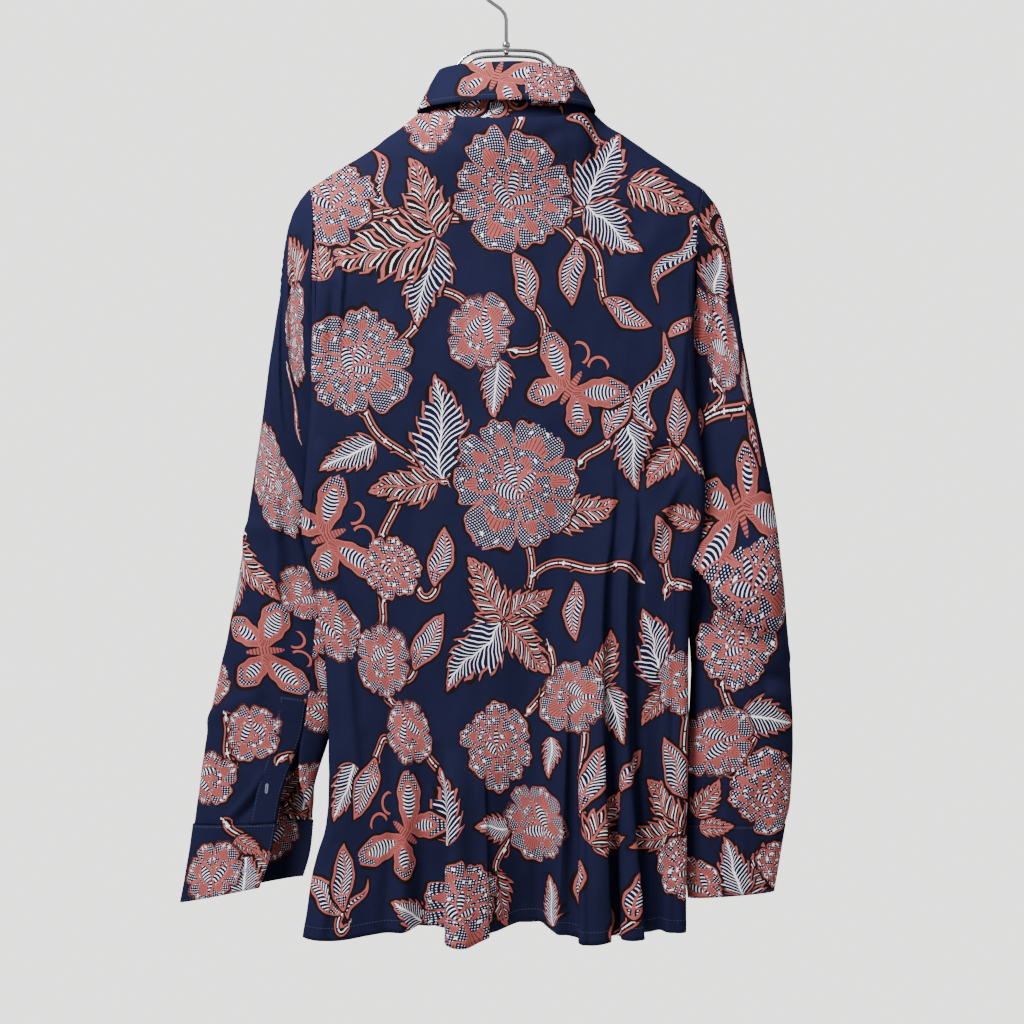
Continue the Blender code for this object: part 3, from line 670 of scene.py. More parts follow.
def creased(points, flat, outward, creases=(), amount=1.0):
    """The grid with its creases and unevenness added. outward is +1 or -1 times its own normals."""
    normal = normals_of(points, is_closed(points)) * outward
    find = finder(points, flat, outward)
    lift = crease_lift(flat, creases, find)
    over = crease_lift(flat, [crease for crease in creases if crease.lean < TUCK_LEAN], find)
    points = points + over[..., None] * TUCK_FALL
    amount = amount * bpy.context.scene.batik_cloth.unevenness
    lift += amount * sum(high * rumple(points + shift, stretch) for high, stretch, shift in RUMPLES)
    return points + normal * lift[..., None]


def cloth(name, points, flat, outward, printed, node, layers=1.0):
    """A grid whose corners are moved to points, its print laid on, made a thin shell."""
    rows, columns = points.shape[:2]
    bpy.ops.object.select_all(action="DESELECT")
    bpy.ops.mesh.primitive_grid_add(x_subdivisions=columns - 1, y_subdivisions=rows - 1, size=1)
    piece = bpy.context.object
    piece.name = name
    mesh = piece.data
    mesh.name = name
    grid = np.zeros(len(mesh.vertices) * 3, np.float32)
    mesh.vertices.foreach_get("co", grid)
    grid = grid.reshape(-1, 3)
    column = np.rint((grid[:, 0] + 0.5) * (columns - 1)).astype(int)
    row = np.rint((grid[:, 1] + 0.5) * (rows - 1)).astype(int)
    mesh.vertices.foreach_set("co", (points[row, column] * MM).astype(np.float32).ravel())
    lay_print(mesh, flat[row, column], *printed)
    if outward < 0:
        mesh.flip_normals()
    for material in (batik("batik_outside", 1.0), batik("batik_inside", WRONG_SIDE)):
        mesh.materials.append(material)
    if is_closed(points):
        bpy.ops.object.mode_set(mode="EDIT")
        bpy.ops.mesh.select_all(action="SELECT")
        bpy.ops.mesh.remove_doubles(threshold=0.00001)
        bpy.ops.object.mode_set(mode="OBJECT")
    bpy.ops.object.shade_smooth()
    wall = piece.modifiers.new("Wall", "SOLIDIFY")
    wall.thickness = layers * bpy.context.scene.batik_cloth.thickness
    wall.offset = -1
    wall.material_offset = 1
    bpy.ops.object.modifier_apply(modifier="Wall")
    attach(piece, "root")
    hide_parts(node)
    SURFACES[name] = points, normals_of(points, is_closed(points)) * outward
    return piece


# ---------------------------------------------------------------- where the print's motifs lie

Motif = namedtuple("Motif", "kind u v angle size")
PEONY, BLOSSOM, BUTTERFLY = 1, 2, 3
WHITE_LEAF, RED_LEAF, BUD, LONG_LEAF = 1, 2, 3, 4
KIND_STEP = 1000.0
FLOWER_REACH = 1.12
LEAF_HALF = 0.42
LEAF_REACH = 0.58
STEM_REACH = 8.0
STEM_HALF = 3.6


def laid(motifs, corners, whole):
    """Where each face's corners lie in the nearest motif of a layer, and that motif's code."""
    middles = corners.mean(1)
    best = np.full(len(corners), 1.0)
    value = np.zeros((len(corners), 4, 3), np.float32)
    for motif in motifs:
        angle = math.radians(motif.angle)
        turn = np.array([[math.cos(angle), math.sin(angle)], [-math.sin(angle), math.cos(angle)]])
        centre = np.array([motif.u, motif.v])
        local = (middles - centre) @ turn.T / motif.size
        if whole:
            far = np.hypot(local[:, 0], local[:, 1]) / FLOWER_REACH
        else:
            aside, onwards = np.abs(local[:, 0]), np.abs(local[:, 1] - 0.5)
            far = np.maximum(aside / LEAF_HALF, onwards / LEAF_REACH)
        near = far < best
        best[near] = far[near]
        value[near, :, :2] = (corners[near] - centre) @ turn.T
        value[near, :, 2] = motif.kind * KIND_STEP + motif.size
    return value


def bezier(stem, steps=22):
    """The points of a stem, given as four places that pull its line."""
    on = np.linspace(0, 1, steps)[:, None]
    left = 1 - on
    a, b, c, d = (np.array(place, float) for place in stem)
    return a * left**3 + 3 * b * on * left**2 + 3 * c * on**2 * left + d * on**3


def stem_places(stems, corners):
    """Each face's nearest stem: how far along it and to which side of it each corner lies."""
    value = np.zeros((len(corners), 4, 3), np.float32)
    best = np.full(len(corners), STEM_REACH)
    middles = corners.mean(1)
    for stem in stems:
        line = bezier(stem)
        low, high = line.min(0) - STEM_REACH, line.max(0) + STEM_REACH
        near = np.flatnonzero(((middles > low) & (middles < high)).all(1))
        if not len(near):
            continue
        _, _, away = along_line(line, middles[near])
        close = away < best[near]
        faces = near[close]
        best[faces] = away[close]
        along, across, _ = along_line(line, corners[faces].reshape(-1, 2))
        value[faces, :, 0] = along.reshape(-1, 4)
        value[faces, :, 1] = across.reshape(-1, 4)
        value[faces, :, 2] = STEM_HALF
    return value


def along_line(line, places):
    """How far along a line each place is, how far to its side, and how far from it."""
    start, step = line[:-1], np.diff(line, axis=0)
    length = np.hypot(step[:, 0], step[:, 1])
    away = places[:, None] - start[None]
    part = (away * step).sum(2) / length**2
    inner = np.clip(part, 0, 1)
    side = (away[..., 0] * step[:, 1] - away[..., 1] * step[:, 0]) / length
    gap = np.linalg.norm(away - step * inner[..., None], axis=2)
    nearest = gap.argmin(1)
    own = np.arange(len(places)), nearest
    before = np.concatenate([[0], np.cumsum(length)])[:-1]
    return before[nearest] + (inner * length)[own], np.sign(side[own]) * gap[own], gap[own]


def lay_print(mesh, flat, motifs, stems):
    """Writes on each face corner where it lies in the flowers, the leaves and the stems."""
    loops = np.zeros(len(mesh.loops), np.int32)
    mesh.loops.foreach_get("vertex_index", loops)
    corners = flat[loops].reshape(-1, 4, 2)
    flowers, leaves, more = motifs
    layers = {
        "flowers": laid(flowers, corners, True),
        "leaves": laid(leaves, corners, False),
        "more_leaves": laid(more, corners, False),
        "stems": stem_places(stems, corners),
        "cloth": np.concatenate([corners, np.zeros((len(corners), 4, 1))], 2).astype(np.float32),
    }
    for name, value in layers.items():
        attribute = mesh.attributes.new(name, "FLOAT_VECTOR", "CORNER")
        attribute.data.foreach_set("vector", value.astype(np.float32).ravel())


# ---------------------------------------------------------------- patterns worked out by nodes


class Term:
    """A number made by Math nodes, so that a pattern reads as a formula."""

    def __init__(self, tree, socket):
        self.tree = tree
        self.socket = socket

    def math(self, operation, *others):
        node = self.tree.nodes.new("ShaderNodeMath")
        node.operation = operation
        set_out(self.tree, node)
        for slot, value in zip(node.inputs, (self, *others)):
            connect(self.tree, value, slot)
        return Term(self.tree, node.outputs[0])

    def __add__(self, other):
        return self.math("ADD", other)

    def __radd__(self, other):
        return self.math("ADD", other)

    def __sub__(self, other):
        return self.math("SUBTRACT", other)

    def __rsub__(self, other):
        return self.math("MULTIPLY_ADD", -1.0, other)

    def __mul__(self, other):
        return self.math("MULTIPLY", other)

    def __truediv__(self, other):
        return self.math("DIVIDE", other)

    def __lt__(self, other):
        return self.math("LESS_THAN", other)

    def __gt__(self, other):
        return self.math("GREATER_THAN", other)

    def __abs__(self):
        return self.math("ABSOLUTE")

    def __and__(self, other):
        return self.math("MULTIPLY", other)

    def __or__(self, other):
        return self.math("MAXIMUM", other)

    def fraction(self):
        return self.math("FRACT")

    def sine(self):
        return self.math("SINE")

    def cosine(self):
        return self.math("COSINE")

    def power(self, exponent):
        return self.math("POWER", exponent)


def set_out(tree, node):
    """Sets the nodes out in columns of ten."""
    count = len(tree.nodes)
    node.location = (180 * (count // 10), -170 * (count % 10))


def connect(tree, value, slot):
    """Links a Term to a node's input, or sets a plain value there."""
    if isinstance(value, Term):
        tree.links.new(value.socket, slot)
    else:
        slot.default_value = value


def pick(mask, chosen, other):
    """chosen where the mask is 1, and other where it is 0."""
    tree = mask.tree
    node = tree.nodes.new("ShaderNodeMix")
    set_out(tree, node)
    connect(tree, mask, node.inputs["Factor"])
    connect(tree, other, node.inputs["A"])
    connect(tree, chosen, node.inputs["B"])
    return Term(tree, node.outputs["Result"])


def new_group(name, inputs, outputs):
    """A shader node group: its tree, and a Term for each input."""
    tree = bpy.data.node_groups.new(name, "ShaderNodeTree")
    for label, kind in inputs:
        tree.interface.new_socket(label, in_out="INPUT", socket_type=kind)
    for label, kind in outputs:
        tree.interface.new_socket(label, in_out="OUTPUT", socket_type=kind)
    given = tree.nodes.new("NodeGroupInput")
    return tree, [Term(tree, given.outputs[label]) for label, _ in inputs]


def end_group(tree, *results):
    """Links the results to the group's outputs, in order."""
    ending = tree.nodes.new("NodeGroupOutput")
    set_out(tree, ending)
    for slot, result in zip(ending.inputs, results):
        connect(tree, result, slot)


def use_group(tree, name, *values):
    """Places a node group and returns a Term for each of its outputs."""
    node = tree.nodes.new("ShaderNodeGroup")
    node.node_tree = bpy.data.node_groups[name]
    set_out(tree, node)
    for slot, value in zip(node.inputs, values):
        connect(tree, value, slot)
    return [Term(tree, socket) for socket in node.outputs]


def parts_of(vector):
    """The three numbers of a vector."""
    node = vector.tree.nodes.new("ShaderNodeSeparateXYZ")
    set_out(vector.tree, node)
    connect(vector.tree, vector, node.inputs[0])
    return [Term(vector.tree, socket) for socket in node.outputs]


# The inks of the print, and the size of what is drawn with them
GROUND, NAVY, CORAL, DEEP_CORAL, WHITE, DARK = range(6)
INK_STEP = 1 / 8
DOT_AREA = 0.046
STRIPE_PITCH = 3.3
STRIPE_SHARE = 0.36
WING_RIM = 7.0
WEAVE_PITCH = 0.9
CLOTH_BUMP = 0.35
CLOTH_ROUGHNESS = 0.82
CLOTH_GLOSS = 0.04


def pens():
    """The width of the print's coral lines, and of the dark edge left round each motif."""
    settings = bpy.context.scene.batik_print
    return settings.line / MM, settings.halo / MM


def hash_of(term):
    """A number from 0 to 1 that looks unrelated to the one given."""
    return ((term * 12.9898).sine() * 437.58).fraction()


def dots(across, along):
    """1 inside the small dots that fill a petal."""
    step = bpy.context.scene.batik_print.dot_step / MM
    out = (across * (1 / step)).fraction() - 0.5
    on = (along * (1 / step)).fraction() - 0.5
    return (out * out + on * on) < DOT_AREA


def petal_ring(x, y, q, theta, size, count, offset, rim, flame_from, ink):
    """A ring of scalloped petals: dotted navy, with a finely hatched coral flame at each foot."""
    pen, _ = pens()
    turn = theta * count * (1 / TAU) + offset
    cell = turn.fraction() - 0.5
    number = turn.math("FLOOR").math("FLOORED_MODULO", count)
    luck = hash_of(number + size + offset * 7)
    lobes = (cell * (2.5 * TAU)).cosine()
    notch = abs(cell * 2).power(5)
    edge = (1 + lobes * 0.03 - notch * 0.24 + (luck - 0.5) * 0.17) * rim
    depth = (edge - q) * size
    arc = cell * q * size * TAU / count
    side = q * size * (TAU / 2) / count - abs(arc)
    ragged = abs((cell * 9).fraction() - 0.5) * 0.09
    flame_at = (cell * cell * 1.7 + flame_from + luck * 0.05 + ragged) * size
    flame = pick(((cell * 13).fraction() < 0.24) & (depth > flame_at + 1.0), DEEP_CORAL, CORAL)
    eye_out, eye_on = depth - size * 0.10, abs(arc) - size * 0.085
    eye = (eye_out * eye_out + eye_on * eye_on) < 1.5
    wavy_x, wavy_y = x + (y * 0.13).sine() * 2.5, y + (x * 0.11).sine() * 2.5
    petal = pick(dots(wavy_x, wavy_y) | eye, WHITE, NAVY)
    petal = pick(depth > flame_at, flame, petal)
    petal = pick(depth.math("MINIMUM", side) < pen, CORAL, petal)
    return pick(depth > 0, petal, ink), depth


def along_tilt(out_x, out_y, tilt):
    """Along and across a shape tilted by some degrees."""
    cosine, sine = math.cos(math.radians(tilt)), math.sin(math.radians(tilt))
    return out_x * cosine + out_y * sine, out_y * cosine - out_x * sine


def striped_lobe(x, y, size, lobe, ink):
    """A pointed navy lobe with curved white stripes and a coral edge, laid over the ink so far."""
    pen, _ = pens()
    along, across = along_tilt(x - size * lobe.x, y - size * lobe.y, lobe.tilt)
    part = along / (size * lobe.long_half)
    depth = (1 - part * part) * size * lobe.short_half - abs(across)
    stripe = ((along + across * across * 0.05) * (1 / STRIPE_PITCH)).fraction() < STRIPE_SHARE
    lobe_ink = pick(stripe & (depth > 2.0), WHITE, NAVY)
    lobe_ink = pick(depth < pen, CORAL, lobe_ink)
    return pick(depth > 0, lobe_ink, ink), depth


# Each lobe's middle, half length and half width as shares of the flower's size, and its tilt
Lobe = namedtuple("Lobe", "x y long_half short_half tilt")
PEONY_CUP = (
    Lobe(-0.16, -0.04, 0.31, 0.15, 128),
    Lobe(0.02, 0.16, 0.27, 0.12, 78),
    Lobe(0.16, -0.10, 0.26, 0.11, 14),
)
BLOSSOM_CUP = (
    Lobe(-0.23, -0.10, 0.48, 0.21, 125),
    Lobe(0.24, -0.08, 0.46, 0.20, 55),
    Lobe(0.0, -0.48, 0.30, 0.13, 90),
)
WINGS = (Lobe(0.36, -0.30, 0.40, 0.30, -52), Lobe(0.52, 0.26, 0.56, 0.34, 36))


def motif_group(name):
    """A group that turns a place in a motif into the ink there, and whether the motif covers it."""
    outputs = [("Ink", "NodeSocketFloat"), ("Cover", "NodeSocketFloat")]
    return new_group(name, [("Place", "NodeSocketVector")], outputs)


def make_peony():
    """A peony seen from the front, or a smaller blossom whose striped cup hides its petals."""
    tree, (spot,) = motif_group("Peony")
    _, halo = pens()
    x, y, code = parts_of(spot)
    blossom = code > (1.5 * KIND_STEP)
    size = code - (blossom + 1) * KIND_STEP
    x = x * pick(blossom, 1.2, 1.0)
    uneven = number_texture(tree, spot, 0.045, 1.0) - 0.5
    r = (x * x + y * y).math("SQRT")
    q = r / size * (uneven * 0.34 + 1)
    theta = x.math("ARCTAN2", y)
    theta = theta + (theta * 2 + size).sine() * 0.20
    here = x, y, q, theta, size
    ink, outer = petal_ring(*here, pick(blossom, 6.0, 8.0), 0.0, 0.98, 0.145, DARK)
    middle_rim, inner_rim = pick(blossom, 0.52, 0.64), pick(blossom, 0.22, 0.36)
    ink, _ = petal_ring(*here, pick(blossom, 4.0, 6.0), 0.37, middle_rim, 0.13, ink)
    ink, _ = petal_ring(*here, 4.0, 0.15, inner_rim, 0.12, ink)
    small_ink, large_ink = ink, ink
    cup_edge = outer
    for lobe in PEONY_CUP:
        small_ink, _ = striped_lobe(x, y, size, lobe, small_ink)
    for lobe in BLOSSOM_CUP:
        large_ink, depth = striped_lobe(x, y, size, lobe, large_ink)
        cup_edge = cup_edge.math("MAXIMUM", depth)
    ink = pick(blossom, large_ink, small_ink)
    edge = pick(blossom, cup_edge, outer)
    end_group(tree, pick(edge > 0, ink, DARK), (edge > -halo) & (code > 1))


def make_leaf():
    """A leaf from its foot to its tip: white-veined, red-veined, a bud, or a long striped leaf."""
    tree, (spot,) = motif_group("Leaf")
    pen, halo = pens()
    x, y, code = parts_of(spot)
    kind = (code * (1 / KIND_STEP)).math("FLOOR")
    size = code - kind * KIND_STEP
    red = abs(kind - RED_LEAF) < 0.5
    bud = abs(kind - BUD) < 0.5
    long_leaf = kind > 3.5
    plain = bud | long_leaf
    t = (y / size).math("MAXIMUM", 0.0).math("MINIMUM", 1.0)
    uneven = (number_texture(tree, spot, 0.05, 1.0) - 0.5) * size * 0.16
    bend = (t * TAU).sine() * size * (long_leaf * 0.09 + 0.03)
    middle = x + bend + uneven
    across = abs(middle)
    shape = (t.power(pick(bud, 0.85, 0.62)) * math.pi).sine().math("MAXIMUM", 0.0).power(0.85)
    half = size * pick(long_leaf, 0.105, pick(bud, 0.20, 0.305))
    tooth_at = (y - across * 0.45) / (size * 0.17) + (middle > 0) * 0.5
    teeth = tooth_at.fraction() * 0.36 + 0.70
    width = half * shape * pick(plain, 1.0, teeth)
    depth = width - across
    rise = y - (across * half + 2.0).math("SQRT") * 0.92
    rib_step = size * 0.155
    rib = (rise / rib_step).fraction()
    inside = depth > 2.9
    vein = (rise / (size * 0.062)).fraction()
    white_leaf = pick(((vein < 0.27) | (across < 0.75)) & inside, WHITE, NAVY)
    stroke = (vein < 0.30) & (rib > 0.30) & inside & (across > 1.8)
    red_leaf = pick((rib < 0.20) | (across < 1.0), CORAL, pick(stroke, WHITE, DARK))
    stripes = ((rise * (1 / 3.6)).fraction() < 0.30) & inside
    striped = pick(stripes, WHITE, NAVY)
    cup = bud & (t < 0.24)
    striped = pick(cup, pick(dots(x, y), WHITE, NAVY), striped)
    striped = pick(bud & ((across < 0.9) | (abs(t - 0.24) * size < 0.8)), CORAL, striped)
    body = pick(plain, striped, pick(red, red_leaf, white_leaf))
    ink = pick(depth > 0, pick(depth < pen * 1.45, CORAL, body), DARK)
    cover = (depth > -halo) & (code > 1) & (y > -1.5) & ((size + 2.0 - y) > 0)
    end_group(tree, ink, cover)


def make_butterfly():
    """A butterfly with hatched wing edges and striped panels, its feelers curled outwards."""
    tree, (spot,) = motif_group("Butterfly")
    pen, halo = pens()
    x, y, code = parts_of(spot)
    size = code - BUTTERFLY * KIND_STEP
    x, y = abs(x) / size, y / size
    ink, cover = DARK, None
    for wing in WINGS:
        along, across = along_tilt(x - wing.x, y - wing.y, wing.tilt)
        narrow = 1 - (along / wing.long_half - 1).math("MINIMUM", 0.0) * -0.22
        far_along = (along * (1 / wing.long_half)).power(2)
        reach = (far_along + (across / (narrow * wing.short_half)).power(2)).math("SQRT")
        scallop = (across.math("ARCTAN2", along) * 6).cosine() * 0.05
        depth = (1 + scallop - reach) * size * wing.short_half
        hatch = pick((across.math("ARCTAN2", along) * 9).fraction() < 0.30, DEEP_CORAL, CORAL)
        beads = pick(dots(along * size, across * size), WHITE, NAVY)
        rim = pick((along > wing.long_half * 0.35) & (depth > 1.6) & (depth < 5.0), beads, hatch)
        stripe = ((along - across * across * 2) * size * (1 / STRIPE_PITCH)).fraction()
        wing_ink = pick(depth < WING_RIM, rim, pick(stripe < STRIPE_SHARE, WHITE, NAVY))
        wing_ink = pick(abs(depth - WING_RIM) < 0.8, CORAL, wing_ink)
        wing_ink = pick(depth < pen, CORAL, wing_ink)
        ink = pick(depth > 0, wing_ink, ink)
        cover = (depth > -halo) if cover is None else cover | (depth > -halo)
    body = ((x * 14).power(2) + (y * 2.7).power(2)) < 1
    rings = pick((y * size * (1 / 3.0)).fraction() < 0.35, DEEP_CORAL, CORAL)
    ring_far = ((x - 0.24).power(2) + (y - 0.62).power(2)).math("SQRT") - 0.20
    feeler_near = abs(ring_far) * size
    feeler = (feeler_near < 2.4) & (y > 0.52) & (x < 0.40)
    feeler_ink = pick(feeler_near < 1.2, CORAL, DARK)
    ink = pick(feeler & ((cover > 0.5) < 0.5), feeler_ink, pick(body, rings, ink))
    end_group(tree, ink, (cover | body | feeler) & (code > 1))


def make_stem():
    """A stem: coral edges, a white middle line, small thorns, and a dot at each joint."""
    tree, (spot,) = motif_group("Stem")
    along, across, half = parts_of(spot)
    thorn = (1 - (along * (1 / 41.0)).fraction() * 10).math("MAXIMUM", 0.0) * 3.0 * (across > 0)
    depth = half + thorn - abs(across)
    line = pick((abs(across) < 0.55) & ((along * (1 / 13.0)).fraction() > 0.10), WHITE, DARK)
    joint = ((along * (1 / 31.0)).fraction() < 0.06) & (abs(across) < 1.7)
    ink = pick(joint, WHITE, line)
    ink = pick(depth < 1.35, CORAL, ink)
    end_group(tree, pick(depth > 0, ink, DARK), (depth > -2.0) & (half > 0.1))


def number_texture(tree, vector, scale, detail=2.0, roughness=0.5):
    """Noise from 0 to 1 at each place."""
    node = tree.nodes.new("ShaderNodeTexNoise")
    set_out(tree, node)
    node.inputs["Scale"].default_value = scale
    node.inputs["Detail"].default_value = detail
    node.inputs["Roughness"].default_value = roughness
    connect(tree, vector, node.inputs["Vector"])
    return Term(tree, node.outputs[0])


def scaled(tree, colour, amount):
    """A colour times a number."""
    node = tree.nodes.new("ShaderNodeVectorMath")
    node.operation = "SCALE"
    set_out(tree, node)
    connect(tree, colour, node.inputs[0])
    connect(tree, amount, node.inputs["Scale"])
    return Term(tree, node.outputs[0])


def make_print():
    """The whole print: stems under leaves under flowers, coloured, and the cloth's grain."""
    labels = ("Flowers", "Leaves", "More Leaves", "Stems", "Cloth")
    inputs = [(label, "NodeSocketVector") for label in labels]
    outputs = [("Color", "NodeSocketColor"), ("Height", "NodeSocketFloat")]
    tree, (flowers, leaves, more, stems, flat) = new_group("Batik print", inputs, outputs)
    stem_ink, stem_cover = use_group(tree, "Stem", stems)
    ink = pick(stem_cover, stem_ink, GROUND)
    for layer in (more, leaves):
        leaf_ink, leaf_cover = use_group(tree, "Leaf", layer)
        ink = pick(leaf_cover, leaf_ink, ink)
    _, _, code = parts_of(flowers)
    flower_ink, flower_cover = use_group(tree, "Peony", flowers)
    wing_ink, wing_cover = use_group(tree, "Butterfly", flowers)
    winged = code > (2.5 * KIND_STEP)
    ink = pick(pick(winged, wing_cover, flower_cover), pick(winged, wing_ink, flower_ink), ink)
    ramp = tree.nodes.new("ShaderNodeValToRGB")
    set_out(tree, ramp)
    ramp.color_ramp.interpolation = "CONSTANT"
    stops = ramp.color_ramp.elements
    inks = bpy.context.scene.batik_print
    colours = (inks.ground, inks.navy, inks.coral, inks.deep_coral, inks.white, inks.dark)
    while len(stops) < len(colours):
        stops.new(1.0)
    for number, colour in enumerate(colours):
        stops[number].position = max(0.0, (number - 0.5) * INK_STEP)
        stops[number].color = (*colour, 1)
    connect(tree, ink * INK_STEP, ramp.inputs[0])
    faded = number_texture(tree, flat, 0.02, 4.0)
    fine = number_texture(tree, flat, 0.55, 2.0)
    shade = scaled(tree, Term(tree, ramp.outputs[0]), faded * 0.5 + fine * 0.35 + 0.58)
    u, v, _ = parts_of(flat)
    weave = (u * (TAU / WEAVE_PITCH)).sine() * (v * (TAU / WEAVE_PITCH)).sine()
    slubs = number_texture(tree, flat, 0.9, 2.0)
    height = weave * 0.4 + slubs
    end_group(tree, shade, height)


def batik(name, strength):
    """The printed cloth, or its duller wrong side."""
    if name in bpy.data.materials:
        return bpy.data.materials[name]
    material = bpy.data.materials.new(name)
    material.use_nodes = True
    tree = material.node_tree
    shader = tree.nodes["Principled BSDF"]
    layers = []
    for layer in ("flowers", "leaves", "more_leaves", "stems", "cloth"):
        node = tree.nodes.new("ShaderNodeAttribute")
        node.attribute_name = layer
        set_out(tree, node)
        layers.append(Term(tree, node.outputs["Vector"]))
    colour, height = use_group(tree, "Batik print", *layers)
    connect(tree, scaled(tree, colour, strength), shader.inputs["Base Color"])
    bump = tree.nodes.new("ShaderNodeBump")
    bump.inputs["Strength"].default_value = CLOTH_BUMP
    bump.inputs["Distance"].default_value = bpy.context.scene.batik_cloth.grain
    set_out(tree, bump)
    connect(tree, height, bump.inputs["Height"])
    tree.links.new(bump.outputs[0], shader.inputs["Normal"])
    shader.inputs["Roughness"].default_value = CLOTH_ROUGHNESS
    shader.inputs["Specular IOR Level"].default_value = CLOTH_GLOSS
    return material


def plain_material(name, colour, roughness, metallic=0.0, scuffs=900.0):
    """A hard material with fine scuffs."""
    if name in bpy.data.materials:
        return bpy.data.materials[name]
    material = bpy.data.materials.new(name)
    material.use_nodes = True
    tree = material.node_tree
    shader = tree.nodes["Principled BSDF"]
    shader.inputs["Metallic"].default_value = metallic
    where = tree.nodes.new("ShaderNodeTexCoord")
    set_out(tree, where)
    scuff = number_texture(tree, Term(tree, where.outputs["Object"]), scuffs, 3.0)
    connect(tree, scuff * 0.16 + (roughness - 0.08), shader.inputs["Roughness"])
    connect(tree, scaled(tree, colour, scuff * 0.4 + 0.8), shader.inputs["Base Color"])
    return material


# ---------------------------------------------------------------- the print's arrangement

# Places are where each motif lies on the hanging shirt as seen from behind: across, then height.
Flower = namedtuple("Flower", "kind x z angle size")
Leaf = namedtuple("Leaf", "kind x z tip_x tip_z")
Arrangement = namedtuple("Arrangement", "flowers leaves stems")

